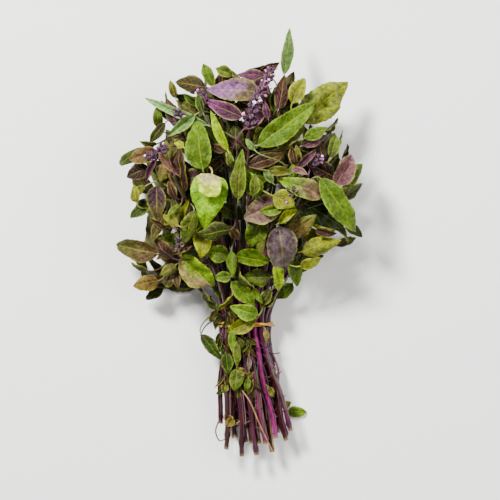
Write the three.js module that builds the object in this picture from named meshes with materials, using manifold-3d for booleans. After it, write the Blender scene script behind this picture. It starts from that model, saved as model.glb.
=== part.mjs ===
// A bunch of purple-stemmed basil, cut, held by a rubber band and lying on its back.
// Millimetres, +Z up. +Y runs from the cut ends to the crown of leaves. The origin is where the
// underside of the band meets the surface.
import * as THREE from 'three';
import Module from 'manifold-3d';

const wasm = await Module();
wasm.setup();
const { lerp, clamp, smoothstep } = THREE.MathUtils;

// The packed stems at the tie, counted row by row from the surface up
const ROWS = [6, 7, 8, 7, 6];
const STEM_PITCH = 4.75;
const ROW_PITCH = 4.35;
const TIE_CENTRE = { x: 0.5, z: 12 };
const TIE_HALF_WIDTH = (STEM_PITCH * 7) / 2;
const STRAIGHT = 5;
const STEM_RADIUS = { least: 1.6, most: 1.9 };
const STEM_TAPER = 0.45;
const STEM_SIDES = 5;

// The cut ends, spread under the tie. The back rows end higher and closer together.
const CUT_CENTRE_X = 6;
const CUT_HALF_WIDTH = 18;
const CUT_Y = -74;
const CUT_Y_SPREAD = 6;
const CUT_ROW_Z = [2.4, 7.4, 12.4, 17.2, 22];
const ROW_BOW = [1.5, -1, 1, -1.6, 1.2];
const ROW_LEAN = [-2, 2, 0, 0, 0];
// Where the stems of the two front rows end, left to right: x, y
const FRONT_CUTS = {
  4: [[-13, -88], [-1, -93], [8.5, -92], [14.5, -84], [22.5, -80], [33.5, -75]],
  3: [[-17, -70], [-6, -80], [0.5, -83], [5.5, -84], [11, -84], [20.5, -90], [30, -82]],
};

// The crown, where the stems fan out. A tip's height over the tie falls off from the middle out.
const TIP_TOP_Y = 164;
const TIP_EDGE_Y = 104;
const TIP_HALF_WIDTH = 64;
const CROWN_MIDDLE_Z = 41;
const CROWN_HALF_DEPTH = 32;
const OUTERMOST = 1.2;
const FAN_POWER = 1.3;
const RISE_POWER = 1.15;
// Stems that end at a place of their own, by row and place in the row: x, y, z of the tip
const OWN_TIPS = {
  '2,0': [-58, 49, 28],
  '2,7': [58, 80, 26],
  '1,0': [-62, 92, 20],
  '3,0': [-58, 120, 54],
  '1,6': [66, 104, 24],
  '3,6': [37, 43, 40],
  '4,3': [3, 130, 72],
};

// The outside of the crown, as seen from above
const CROWN_OUTLINE = [
  [18, 4], [36, 20], [46, 32], [58, 50], [80, 58], [82, 76], [84, 112], [72, 128], [66, 142],
  [70, 166], [46, 168], [34, 184], [22, 184], [0, 182], [-28, 182], [-50, 172], [-64, 158],
  [-66, 138], [-86, 122], [-80, 100], [-80, 76], [-64, 66], [-84, 56], [-74, 26], [-50, 24],
  [-36, 22], [-18, 4],
];
const DOME = { x: -2, y: 100, rx: 103, ry: 130, foot: 12, rise: 72, tieZ: 25, slope: 0.62 };
const STEEPEST = 0.6;

// Leaves
const BLADE = 0.8;
const PETIOLE_RADIUS = 0.75;
const ROOT_RADIUS = 0.6;
const CLEAR = 0.35;
const LEAST_EDGE = 0.004;
const NARROW = 10;
const LAYER_DEPTH = 4.5;
const FRONT_LAYER = 5;
const SHOWN_SEED = 5000;
const TOWARDS_OUTSIDE = 0.4;
const HALF_SIDE = Math.sqrt(3) / 2;

// The leaves that show, each by the base and tip of its blade as seen from above, its width, the
// layer it lies in from 0 at the back to 5 in front, how far it arches and how far it is folded.
// Some have a root: the row and place of their stem, and how far up it they grow.
const SHOWN_LEAVES = [
  { at: [28, 175, 32, 208.5], width: 9, layer: 1, arch: 0.3, fold: 0.4 },
  { at: [38, 143, 73, 170.5], width: 25, layer: 2, arch: 0.5, fold: 0.15 },
  { at: [10, 125, 50, 155.5], width: 18, layer: 3, arch: 0.7, fold: 0.25 },
  { at: [11, 162, -26, 164], width: 17, layer: 3, arch: 0.8, fold: 0.15 },
  { at: [14, 174, -5, 174.5], width: 8, layer: 2, arch: 0.5, fold: 0.5 },
  { at: [-1, 144.5, -28, 157], width: 11, layer: 3, arch: 0.7, fold: 0.3 },
  { at: [-11, 121, -23, 149], width: 10, layer: 4, arch: 0.5, fold: 0.9 },
  { at: [-28.5, 108.5, -32.5, 142], width: 21, layer: 4, arch: 0.9, fold: 0.35 },
  { at: [-25, 139, -69.5, 159], width: 9, layer: 3, arch: 0.9, fold: 0.9 },
  { at: [-27, 166, -48, 170], width: 13, layer: 1, arch: 0.5, fold: 0.3 },
  { at: [-21, 166, -28.5, 182.5], width: 10, layer: 2, arch: 0.4, fold: 0.7 },
  { at: [-52, 143, -58, 157], width: 8, layer: 0, arch: 0.4, fold: 0.3 },
  { at: [-47, 140, -54, 158], width: 12, layer: 2, arch: 0.6, fold: 0.3 },
  { at: [-34, 147, -47, 157], width: 9, layer: 1, arch: 0.5, fold: 0.3 },
  { at: [-34, 146, -53, 131.5], width: 11, layer: 3, arch: 0.5, fold: 0.9 },
  { at: [-55, 141, -66, 127], width: 8, layer: 1, arch: 0.6, fold: 0.3 },
  { at: [-68, 123, -87, 112.5], width: 9, layer: 0, arch: 2.2, fold: 0.5 },
  { at: [-60, 121, -80, 115.5], width: 13, layer: 3, arch: 0.8, fold: 0.6 },
  { at: [-66, 110, -82, 103.5], width: 12, layer: 1, arch: 0.6, fold: 0.3 },
  { at: [-61, 115.5, -68, 100], width: 8, layer: 3, arch: 0.6, fold: 0.9 },
  { at: [-58.5, 119, -44, 103], width: 9, layer: 4, arch: 0.6, fold: 0.9 },
  { at: [-55, 112, -58, 100], width: 12, layer: 2, arch: 0.5, fold: 0.3 },
  { at: [-64, 87, -79.5, 75], width: 10, layer: 1, arch: 0.7, fold: 0.3 },
  { at: [-61, 97, -60, 72.5], width: 14, layer: 2, arch: 0.8, fold: 0.3 },
  { at: [-43, 73, -38, 87.5], width: 9, layer: 3, arch: 0.5, fold: 0.8 },
  { at: [-42, 124, -48.5, 129], width: 6, layer: 2, arch: 0.4, fold: 0.3 },
  { at: [-44, 112, -52, 117], width: 6, layer: 1, arch: 0.4, fold: 0.3 },
  { at: [-28, 103, -43, 102], width: 13, layer: 2, arch: 0.6, fold: 0.3 },
  { at: [-41, 83, -46, 95], width: 7, layer: 1, arch: 0.4, fold: 0.4 },
  { at: [-28, 66, -22, 105], width: 25, layer: 3, arch: 0.8, fold: 0.2 },
  { at: [-22, 105, -25, 89.5], width: 18, layer: 5, arch: 0.7, fold: 0.3 },
  { at: [-16, 84, 1, 74.5], width: 12, layer: 2, arch: 0.6, fold: 0.3 },
  { at: [-4, 88, -1, 122.5], width: 13, layer: 4, arch: 0.6, fold: 0.5 },
  { at: [-5, 121, -6, 141], width: 13, layer: 1, arch: 0.5, fold: 0.2 },
  { at: [7, 122, 1, 129.5], width: 5, layer: 3, arch: 0.4, fold: 0.5 },
  { at: [4, 111, 28, 119], width: 11, layer: 2, arch: 0.6, fold: 0.3 },
  { at: [30, 123, 17, 120], width: 5, layer: 2, arch: 0.5, fold: 0.5 },
  { at: [-14, 117, -25, 107], width: 8, layer: 1, arch: 0.5, fold: 0.3 },
  { at: [20, 99, 13.5, 109], width: 6, layer: 2, arch: 0.5, fold: 0.4 },
  { at: [54, 90, 23, 101.5], width: 15, layer: 4, arch: 0.8, fold: 0.3 },
  { at: [26, 84, 0, 75], width: 21, layer: 3, arch: 0.9, fold: 0.35 },
  { at: [20, 90, 35, 83], width: 14, layer: 4, arch: 0.8, fold: 0.4 },
  { at: [27, 82, 11, 79], width: 9, layer: 5, arch: 0.7, fold: 0.8 },
  { at: [12, 77, 4, 54.5], width: 16, layer: 2, arch: 0.8, fold: 0.3 },
  { at: [24, 69, 27, 40], width: 25, layer: 4, arch: 1, fold: 0.25 },
  { at: [30, 62, 50.5, 77], width: 15, layer: 3, arch: 0.7, fold: 0.3 },
  { at: [53, 102, 78, 65], width: 17, layer: 3, arch: 0.9, fold: 0.3 },
  { at: [37, 88, 70, 68], width: 19, layer: 1, arch: 0.7, fold: 0.3 },
  { at: [70, 72, 83, 61.5], width: 8, layer: 0, arch: 0.5, fold: 0.3 },
  { at: [63, 98, 75, 119], width: 17, layer: 3, arch: 0.8, fold: 0.3 },
  { at: [68, 99, 83, 113], width: 14, layer: 1, arch: 0.6, fold: 0.2 },
  { at: [62, 104, 46, 112], width: 15, layer: 2, arch: 0.7, fold: 0.3 },
  { at: [37, 109, 50, 122], width: 8, layer: 3, arch: 0.6, fold: 0.8 },
  { at: [25, 124, 42, 138], width: 10, layer: 2, arch: 0.6, fold: 0.4 },
  { at: [42, 130, 58, 138], width: 9, layer: 3, arch: 0.6, fold: 0.4 },
  { at: [41, 125, 57, 132.5], width: 8, layer: 2, arch: 0.6, fold: 0.5 },
  { at: [60, 117, 64, 133], width: 9, layer: 2, arch: 0.6, fold: 0.4 },
  { at: [62, 118, 69, 137], width: 5, layer: 1, arch: 0.4, fold: 0.9 },
  { at: [24, 150, 28, 174.5], width: 11, layer: 1, arch: 0.6, fold: 0.3 },
  { at: [21, 148, 21.5, 166], width: 7, layer: 2, arch: 0.5, fold: 0.7 },
  { at: [30, 150, 39, 168], width: 10, layer: 0, arch: 0.5, fold: 0.3 },
  { at: [-60, 50, -90, 56.5], width: 17, layer: 2, arch: 0.8, fold: 0.25 },
  { at: [-60, 31, -78, 27], width: 13, layer: 2, arch: 0.6, fold: 0.3 },
  { at: [-57, 25, -69, 17.5], width: 8, layer: 1, arch: 1, fold: 0.5 },
  { at: [-52, 30, -35, 27.5], width: 8, layer: 0, arch: 0.5, fold: 0.4 },
  { at: [-44, 48.5, -21, 27.5], width: 20, layer: 3, arch: 0.8, fold: 0.3 },
  { at: [-45, 60, -57, 61], width: 8, layer: 2, arch: 0.5, fold: 0.4 },
  { at: [-49, 31, -58, 30], width: 9, layer: 1, arch: 0.5, fold: 0.3 },
  { at: [-11, 49, -28, 52.5], width: 13, layer: 2, arch: 0.7, fold: 0.3 },
  { at: [-6, 48, 17.5, 44], width: 15, layer: 3, arch: 0.7, fold: 0.6 },
  { at: [19, 33.5, -1, 33.5], width: 14, layer: 3, arch: 0.8, fold: 0.4 },
  { at: [22, 43, 24, 24], width: 10, layer: 3, arch: 0.7, fold: 0.5 },
  { at: [-9, 34, -21, 33], width: 8, layer: 2, arch: 0.6, fold: 0.4 },
  { at: [-14, 20, -22, 28], width: 8, layer: 1, arch: 0.6, fold: 0.4 },
  { at: [31, 51, 37, 27], width: 12, layer: 2, arch: 0.8, fold: 0.4 },
  { at: [34, 29, 23.5, 18], width: 10, layer: 2, arch: 0.7, fold: 0.3 },
  { at: [-4, 60, -11, 70], width: 7, layer: 1, arch: 0.5, fold: 0.3 },
  { at: [9.5, 7, -10, 13], width: 12, layer: 4, arch: 0.7, fold: 0.3 },
  { at: [8, 4, -12, -5], width: 12, layer: 5, arch: 0.9, fold: 0.3 },
  { at: [-30, -7, -15.5, -25], width: 9, layer: 3, arch: 0.6, fold: 0.4, root: ['2,0', 9] },
  { at: [31, -62, 44.5, -62.5], width: 9, layer: 3, arch: 0.5, fold: 0.3 },
  { at: [26, -58, 33.5, -55], width: 6, layer: 5, arch: 0.5, fold: 0.3 },
];
const HEIGHT_TRIES = [0, -2, 2, -4, 4, -6, 6, -9, 9, -12, -15, -19, -23];
const ROLL_TRIES = [0, 0.3, -0.3, 0.6, -0.6];
const ANCHOR_TRIES = 10;
const ANCHOR_STEP = 5;
const ANCHOR_REACH = { least: 4, most: 42 };

// The other leaves, in pairs at the nodes of their stem, sized as full-grown ones
const SMALL_LEAVES = 112;
const SMALL_SEED = 20000;
const NODES = 7;
const LOWEST_NODE_Y = 19;
const SMALL_LENGTH = 42;
const SMALL_WIDTH = 22;
const SMALL_PETIOLE = { least: 6, most: 12 };
const SMALL_SPREAD = { top: 0.45, low: 1.05, loose: 0.5 };
const PAIR_LOOSE = 0.9;
const DROOP = 0.35;
const SLOT_TRIES = 6;
const LEAST_FLAT = 0.5;
const DEEPEST_PRESS = 6;
const UNDER_DOME = 6;

// The flower spike in front and the dry one at the right: the points its axis runs through
const SPIKES = [
  {
    name: 'flower_spike',
    stem: '4,3',
    path: [[5, 146, 77], [9, 158, 76], [15, 168, 72], [19, 178, 68]],
    whorls: 9,
    calyxes: 4,
    reach: [3, 5],
    color: '#9a5a86',
  },
  {
    name: 'dry_spike',
    stem: '3,6',
    path: [[42, 50, 41], [48, 54, 41], [53, 60, 40]],
    whorls: 5,
    calyxes: 3,
    reach: [2.4, 3],
    color: '#7a5a4a',
  },
];
const AXIS_RADIUS = 0.8;
const SPIKE_GAP = 0.4;

// The rubber band, wound twice, crossing itself at the front right
const BAND_WIDTH = 1.5;
const BAND_THICKNESS = 1;
const BAND_STRAND = 1.15;
const BAND_STEPS = 72;
const BAND_CROSSING = 0.24;
const BAND_HOP = 1.45;

function vec(x, y, z) {
  return new THREE.Vector3(x, y, z);
}

// A seeded draw of numbers from 0 to 1
function dice(seed) {
  let state = (seed * 7919 + 104729) % 2147483647;
  const roll = () => {
    state = (state * 48271) % 2147483647;
    return state / 2147483647;
  };
  roll();
  roll();
  return roll;
}

function solid(points, faces) {
  const vertProperties = new Float32Array(points.flatMap((p) => [p.x, p.y, p.z]));
  const triVerts = new Uint32Array(faces.flat());
  return new wasm.Manifold(new wasm.Mesh({ numProp: 3, vertProperties, triVerts }));
}

function geometryOf(body) {
  const mesh = body.getMesh();
  const geometry = new THREE.BufferGeometry();
  geometry.setAttribute('position', new THREE.BufferAttribute(mesh.vertProperties, 3));
  geometry.setIndex(new THREE.BufferAttribute(mesh.triVerts, 1));
  return geometry;
}

// The height of the crown's upper side over the surface
function domeHeight(x, y) {
  const away = ((x - DOME.x) / DOME.rx) ** 2 + ((y - DOME.y) / DOME.ry) ** 2;
  const dome = DOME.foot + DOME.rise * Math.sqrt(Math.max(0, 1 - away));
  return Math.min(dome, DOME.tieZ + DOME.slope * Math.max(0, y));
}

function insideOutline(x, y) {
  let inside = false;
  CROWN_OUTLINE.forEach(([ax, ay], i) => {
    const [bx, by] = CROWN_OUTLINE[(i + 1) % CROWN_OUTLINE.length];
    if (ay > y !== by > y && x < ax + ((bx - ax) * (y - ay)) / (by - ay)) inside = !inside;
  });
  return inside;
}

// Stems. Each runs parallel to its neighbours through the tie, and spreads on both sides of it.
function makeStem(row, place, number) {
  const roll = dice(number);
  const middle = (ROWS.length - 1) / 2;
  const u = ((place - (ROWS[row] - 1) / 2) * STEM_PITCH) / TIE_HALF_WIDTH;
  const v = (row - middle) / middle;
  const out = Math.min(1, Math.hypot(u, v) / OUTERMOST);
  const cutX = CUT_CENTRE_X + ROW_LEAN[row] + CUT_HALF_WIDTH * u + 1.2 * (roll() - 0.5);
  const cutY = CUT_Y + CUT_Y_SPREAD * (2 * roll() - 1);
  const [frontX, frontY] = FRONT_CUTS[row]?.[place] ?? [cutX, cutY];
  const tip = vec(
    TIP_HALF_WIDTH * u + 5 * (roll() - 0.5),
    lerp(TIP_TOP_Y, TIP_EDGE_Y, out * out) + 8 * (roll() - 0.5),
    CROWN_MIDDLE_Z + CROWN_HALF_DEPTH * v + 4 * (roll() - 0.5),
  );
  const own = OWN_TIPS[`${row},${place}`];
  return {
    key: `${row},${place}`,
    number,
    tie: vec(TIE_CENTRE.x + u * TIE_HALF_WIDTH, 0, TIE_CENTRE.z + (row - middle) * ROW_PITCH),
    cut: vec(frontX, frontY, CUT_ROW_Z[row]),
    tip: own ? vec(...own) : tip,
    bow: ROW_BOW[row],
    sway: 2.4 * (roll() - 0.5),
    radius: lerp(STEM_RADIUS.least, STEM_RADIUS.most, roll()),
    turn: roll() * Math.PI,
  };
}

function stemPoint(stem, y) {
  const down = clamp((y + STRAIGHT) / (stem.cut.y + STRAIGHT), 0, 1);
  const up = clamp((y - STRAIGHT) / (stem.tip.y - STRAIGHT), 0, 1);
  const bow = stem.bow * Math.sin(Math.PI * down) * down;
  const sway = stem.sway * Math.sin(Math.PI * up) * up;
  return vec(
    stem.tie.x + (stem.cut.x - stem.tie.x) * down ** 1.15 + bow
      + (stem.tip.x - stem.tie.x) * up ** FAN_POWER + sway,
    y,
    stem.tie.z + (stem.cut.z - stem.tie.z) * down
      + (stem.tip.z - stem.tie.z) * up ** RISE_POWER,
  );
}

function stemTangent(stem, y) {
  return stemPoint(stem, y + 0.5).sub(stemPoint(stem, y - 0.5)).normalize();
}

function stemRadius(stem, y) {
  const up = clamp((y - STRAIGHT) / (stem.tip.y - STRAIGHT), 0, 1);
  return stem.radius * (1 - STEM_TAPER * up);
}

// A tube through given middles, each ring square to its direction
function tube(middles, directions, radii, sides) {
  const points = [];
  const faces = [];
  middles.forEach((middle, i) => {
    const side = vec(0, 0, 1).cross(directions[i]).normalize();
    const up = directions[i].clone().cross(side);
    for (let k = 0; k < sides; k += 1) {
      const angle = (2 * Math.PI * k) / sides;
      points.push(middle.clone()
        .addScaledVector(side, radii[i] * Math.cos(angle))
        .addScaledVector(up, radii[i] * Math.sin(angle)));
    }
  });
  const last = (middles.length - 1) * sides;
  for (let k = 1; k < sides - 1; k += 1) {
    faces.push([0, k + 1, k], [last, last + k, last + k + 1]);
  }
  for (let a = 0; a < last; a += sides) {
    for (let k = 0; k < sides; k += 1) {
      const n = (k + 1) % sides;
      faces.push([a + k, a + n, a + sides + n], [a + k, a + sides + n, a + sides + k]);
    }
  }
  return solid(points, faces);
}

function stemSolid(stem) {
  const up = [0.22, 0.45, 0.72, 1].map((t) => lerp(STRAIGHT, stem.tip.y, t));
  const stations = [stem.cut.y, lerp(stem.cut.y, -STRAIGHT, 0.5), -STRAIGHT, STRAIGHT, ...up];
  return tube(
    stations.map((y) => stemPoint(stem, clamp(y, stem.cut.y, stem.tip.y))),
    stations.map((y) => stemTangent(stem, clamp(y, stem.cut.y + 1, stem.tip.y - 1))),
    stations.map((y) => stemRadius(stem, y)),
    STEM_SIDES,
  );
}

// A leaf's half width along its blade, from 0 at the base to 1 at the tip
function outline(s) {
  return Math.sin(Math.PI * s ** 0.72) ** 0.85;
}

// The blade's own axes. It runs from base to tip on an arc that bulges to its upper side.
function bladeAxes(leaf) {
  const along = leaf.tip.clone().sub(leaf.base);
  const chord = along.length();
  along.divideScalar(chord);
  const up = leaf.face.clone().addScaledVector(along, -leaf.face.dot(along)).normalize();
  const side = along.clone().cross(up);
  return { along, up, side, radius: chord / (2 * Math.sin(leaf.arch / 2)) };
}

// A point on the blade: s along it, across from -1 to 1, and lift over its middle surface
function bladePoint(leaf, axes, s, across, lift) {
  const lean = leaf.arch * (0.5 - s);
  const half = (leaf.width / 2) * (s < 1 ? outline(s) : 0);
  const ripple = leaf.wave * Math.sin(2 * Math.PI * (2 * s + leaf.phase + 0.25 * across));
  const edge = Math.abs(across) * (half * Math.sin(leaf.fold) + (s < 1 ? ripple : 0)) + lift;
  const x = axes.radius * (Math.sin(leaf.arch / 2) - Math.sin(lean)) - edge * Math.sin(lean);
  const z = axes.radius * (Math.cos(lean) - Math.cos(leaf.arch / 2)) + edge * Math.cos(lean);
  return leaf.base.clone()
    .addScaledVector(axes.along, x)
    .addScaledVector(axes.up, z)
    .addScaledVector(axes.side, across * half * Math.cos(leaf.fold));
}

// The petiole curves from the leaf's root, inside the stem, to the base of the blade
function petioleRing(leaf, axes, t, radius) {
  const reach = leaf.base.distanceTo(leaf.root);
  const start = leaf.base.clone().sub(leaf.root).addScaledVector(leaf.leave, 0.5 * reach);
  const end = axes.along.clone().multiplyScalar(Math.cos(leaf.arch / 2))
    .addScaledVector(axes.up, Math.sin(leaf.arch / 2)).multiplyScalar(reach);
  const t2 = t * t;
  const t3 = t2 * t;
  const middle = leaf.root.clone().multiplyScalar(2 * t3 - 3 * t2 + 1)
    .addScaledVector(start, t3 - 2 * t2 + t)
    .addScaledVector(leaf.base, 3 * t2 - 2 * t3)
    .addScaledVector(end, t3 - t2);
  const way = start.multiplyScalar(3 * t2 - 4 * t + 1)
    .addScaledVector(leaf.base.clone().sub(leaf.root), 6 * t - 6 * t2)
    .addScaledVector(end, 3 * t2 - 2 * t).normalize();
  const side = way.clone().cross(axes.up).normalize();
  const up = side.clone().cross(way);
  return [
    middle.clone().addScaledVector(side, -HALF_SIDE * radius).addScaledVector(up, radius / 2),
    middle.clone().addScaledVector(side, HALF_SIDE * radius).addScaledVector(up, radius / 2),
    middle.clone().addScaledVector(up, -radius),
  ];
}

// A leaf that would sink into the surface is pressed flat on it, whichever face is down
function press(point, axes, upperFace) {
  point.z = Math.max(point.z, upperFace === axes.up.z > 0 ? BLADE : 0);
  return point;
}

// The corners and faces of a leaf as one closed body: a three-sided petiole that opens into a
// blade with a midrib. Both sides of the blade are split alike.
function leafFaces(leaf, grow, petiole) {
  const axes = bladeAxes(leaf);
  const stalk = petiole ? leaf.bends : [1];
  const half = BLADE / 2 + grow;
  const points = [];
  const faces = [[0, 2, 1]];
  stalk.forEach((t) => {
    const radius = lerp(ROOT_RADIUS, PETIOLE_RADIUS, t) + grow;
    const [left, right, under] = petioleRing(leaf, axes, t, radius);
    points.push(press(left, axes, true), press(right, axes, true), press(under, axes, false));
  });
  const neck = (stalk.length - 1) * 3;
  for (let a = 0; a < neck; a += 3) {
    for (let k = 0; k < 3; k += 1) {
      const n = (k + 1) % 3;
      faces.push([a + k, a + n, a + 3 + n], [a + k, a + 3 + n, a + 3 + k]);
    }
  }
  const [l, r, b] = [neck, neck + 1, neck + 2];
  const first = neck + 3;
  faces.push(
    [l, r, first + 1], [l, first + 1, first], [r, first + 2, first + 1],
    [r, b, first + 3], [r, first + 3, first + 2],
    [b, first + 4, first + 3], [b, first + 5, first + 4],
    [b, l, first + 5], [l, first, first + 5],
  );
  leaf.stations.forEach((s) => {
    const ring = [[-1, half], [0, half], [1, half], [1, -half], [0, -half], [-1, -half]];
    ring.forEach(([across, lift]) => {
      const wider = across * (1 + grow / leaf.width);
      points.push(press(bladePoint(leaf, axes, s, wider, lift), axes, lift > 0));
    });
  });
  const end = first + (leaf.stations.length - 1) * 6;
  for (let a = first; a < end; a += 6) {
    for (let k = 0; k < 6; k += 1) {
      const n = (k + 1) % 6;
      if (k === 1 || k === 4) faces.push([a + k, a + n, a + 6 + k], [a + n, a + 6 + n, a + 6 + k]);
      else faces.push([a + k, a + n, a + 6 + n], [a + k, a + 6 + n, a + 6 + k]);
    }
  }
  const [top, under] = [end + 6, end + 7];
  points.push(press(bladePoint(leaf, axes, 1, 0, half), axes, true));
  points.push(press(bladePoint(leaf, axes, 1, 0, -half), axes, false));
  faces.push(
    [end, end + 1, top], [end + 1, end + 2, top],
    [end + 2, end + 3, under], [end + 2, under, top],
    [end + 3, end + 4, under], [end + 4, end + 5, under],
    [end + 5, end, top], [end + 5, top, under],
  );
  return { points, faces };
}

function leafSolid(leaf, grow, petiole) {
  const { points, faces } = leafFaces(leaf, grow, petiole);
  return solid(points, faces);
}

// Whether a leaf's own faces cross, as they do where its petiole turns back too sharply
function crossesItself({ points, faces }) {
  const ray = new THREE.Ray();
  const hit = vec(0, 0, 0);
  return faces.some(([a, b, c]) => [[a, b], [b, c], [c, a]].some(([from, to]) => {
    const length = points[from].distanceTo(points[to]);
    ray.set(points[from], points[to].clone().sub(points[from]).divideScalar(length));
    return faces.some((face) => {
      if (face.includes(from) || face.includes(to)) return false;
      const met = ray.intersectTriangle(...face.map((i) => points[i]), false, hit);
      return met !== null && hit.distanceTo(points[from]) < length;
    });
  }));
}

// What is placed so far. A leaf may only touch what grows on its own stem.
const placed = [];

function place(body, number, blade) {
  placed.push({ body, number, blade, box: body.boundingBox() });
}

function meets(body, other) {
  const box = body.boundingBox();
  const apart = [0, 1, 2].some((k) => box.min[k] > other.box.max[k] || box.max[k] < other.box.min[k]);
  if (apart) return false;
  const shared = body.intersect(other.body);
  const touching = !shared.isEmpty();
  shared.delete();
  return touching;
}

function isClear(body, number, ownToo) {
  return !placed.some((other) => {
    const foreign = other.number !== number || (ownToo && other.blade);
    return foreign && meets(body, other);
  });
}

// Corners of a fused body that lie too close together would make slivers
function hasCloseCorners(body) {
  const { vertProperties } = body.getMesh();
  const corners = [];
  for (let i = 0; i < vertProperties.length; i += 3) corners.push(vertProperties.slice(i, i + 3));
  corners.sort((a, b) => a[0] - b[0]);
  return corners.some((a, i) => {
    for (let j = i + 1; j < corners.length && corners[j][0] - a[0] < LEAST_EDGE; j += 1) {
      const b = corners[j];
      if (Math.hypot(b[0] - a[0], b[1] - a[1], b[2] - a[2]) < LEAST_EDGE) return true;
    }
    return false;
  });
}

// Fuses a leaf to its stem, unless it crosses itself or makes slivers
function growLeaf(stem, leaf) {
  if (crossesItself(leafFaces(leaf, 0, true))) return false;
  const body = leafSolid(leaf, 0, true);
  const fused = stem.body.add(body);
  if (hasCloseCorners(fused)) return false;
  stem.body = fused;
  place(body, stem.number, true);
  return true;
}

// The upper side of a leaf faces partly up and partly out of the crown
function outward(x, z) {
  return vec((x - DOME.x) / DOME.rx, 0, (z - CROWN_MIDDLE_Z) / CROWN_HALF_DEPTH).normalize();
}

function shownLeaf(row, number, height, roll) {
  const random = dice(SHOWN_SEED + number);
  const [bx, by, tx, ty] = row.at;
  const depth = (FRONT_LAYER - row.layer) * LAYER_DEPTH - height;
  const base = vec(bx, by, Math.max(2, domeHeight(bx, by) - depth));
  const steepest = STEEPEST * Math.hypot(tx - bx, ty - by);
  const drop = clamp(domeHeight(tx, ty) - depth - 2 - base.z, -steepest, steepest);
  const tip = vec(tx, ty, Math.max(1, base.z + drop));
  const along = tip.clone().sub(base).normalize();
  const face = vec(0, 0, 1).addScaledVector(outward((bx + tx) / 2, base.z), TOWARDS_OUTSIDE);
  face.applyAxisAngle(along, roll + 0.3 * (random() - 0.5));
  return {
    base,
    tip,
    face,
    width: row.width,
    arch: row.arch,
    fold: row.fold,
    wave: 0.35 + 0.5 * random(),
    phase: random(),
    stations: row.width < NARROW ? [0.16, 0.44, 0.76] : [0.13, 0.34, 0.58, 0.8],
    bends: [0, 0.5, 1],
  };
}

// Points of the stems from which a leaf's petiole can come, the handiest first
function anchorsFor(row, leaf, stems) {
  if (row.root) {
    const [key, y] = row.root;
    const stem = stems.find((one) => one.key === key);
    return [{ stem, y, root: stemPoint(stem, y) }];
  }
  const axes = bladeAxes(leaf);
  const start = axes.along.clone().multiplyScalar(Math.cos(leaf.arch / 2))
    .addScaledVector(axes.up, Math.sin(leaf.arch / 2));
  const found = [];
  stems.forEach((stem) => {
    for (let y = stem.cut.y + ANCHOR_STEP; y < stem.tip.y - 1; y += ANCHOR_STEP) {
      const root = stemPoint(stem, y);
      const way = leaf.base.clone().sub(root);
      const reach = way.length();
      const near = reach > ANCHOR_REACH.least && reach < ANCHOR_REACH.most;
      const cost = reach * (1.5 - way.dot(start) / reach) + Math.max(0, -way.z);
      if (near && Math.abs(y) > STRAIGHT) found.push({ stem, y, root, cost });
    }
  });
  return found.sort((a, b) => a.cost - b.cost).slice(0, ANCHOR_TRIES);
}

function placeShownLeaf(row, number, stems) {
  for (const roll of ROLL_TRIES) {
    for (const height of HEIGHT_TRIES) {
      const leaf = shownLeaf(row, number, height, roll);
      leaf.root = leaf.base;
      leaf.leave = vec(0, 0, 0);
      if (!isClear(leafSolid(leaf, CLEAR, false), -1, true)) continue;
      for (const anchor of anchorsFor(row, leaf, stems)) {
        leaf.root = anchor.root;
        leaf.leave = stemTangent(anchor.stem, anchor.y);
        const clear = isClear(leafSolid(leaf, CLEAR, true), anchor.stem.number, false);
        if (clear && growLeaf(anchor.stem, leaf)) return true;
      }
    }
  }
  return false;
}

// The other leaves grow in pairs at the nodes of their stem, each pair square to the last
function smallLeaf(stem, node, which, attempt) {
  const random = dice(((stem.number * 16 + node) * 2 + which) * 8 + attempt + SMALL_SEED);
  const y = lerp(stem.tip.y - 1.5, LOWEST_NODE_Y, node / (NODES - 1));
  const tangent = stemTangent(stem, y);
  const side = vec(0, 0, 1).cross(tangent).normalize();
  const turn = stem.turn + node * (Math.PI / 2) + which * Math.PI + PAIR_LOOSE * (random() - 0.5);
  const out = side.multiplyScalar(Math.cos(turn)).addScaledVector(vec(0, 0, 1), Math.sin(turn));
  const spread = lerp(SMALL_SPREAD.top, SMALL_SPREAD.low, Math.min(1, node / 3))
    + SMALL_SPREAD.loose * (random() - 0.5);
  const way = tangent.clone().multiplyScalar(Math.cos(spread)).addScaledVector(out, Math.sin(spread));
  const size = lerp(0.55, 1, Math.min(1, (node + 1) / 3)) * (0.75 + 0.4 * random());
  const root = stemPoint(stem, y);
  const base = root.clone().addScaledVector(
    way,
    lerp(SMALL_PETIOLE.least, SMALL_PETIOLE.most, random()) * size,
  );
  const droop = vec(way.x, way.y, way.z - DROOP * random()).normalize();
  const tip = base.clone().addScaledVector(droop, SMALL_LENGTH * size);
  return {
    root,
    base,
    tip,
    leave: vec(0, 0, 0),
    face: outward(base.x, base.z).addScaledVector(tangent, 0.5),
    width: SMALL_WIDTH * size * (0.8 + 0.3 * random()),
    arch: 0.5 + 0.7 * random(),
    fold: 0.15 + 0.35 * random(),
    wave: 0.3 + 0.5 * random(),
    phase: random(),
    stations: [0.16, 0.42, 0.74],
    bends: [0, 1],
  };
}

// Whether a small leaf stays in the crown. Only one that lies nearly flat may press on the surface.
function fits(leaf) {
  const axes = bladeAxes(leaf);
  const lowest = Math.abs(axes.up.z) > LEAST_FLAT ? -DEEPEST_PRESS : BLADE;
  return [0.2, 0.5, 0.8, 1].every((s) => [-1, 0, 1].every((across) => {
    const p = bladePoint(leaf, axes, s, across, 0);
    return insideOutline(p.x, p.y) && p.z > lowest && p.z < domeHeight(p.x, p.y) - UNDER_DOME;
  }));
}

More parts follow.
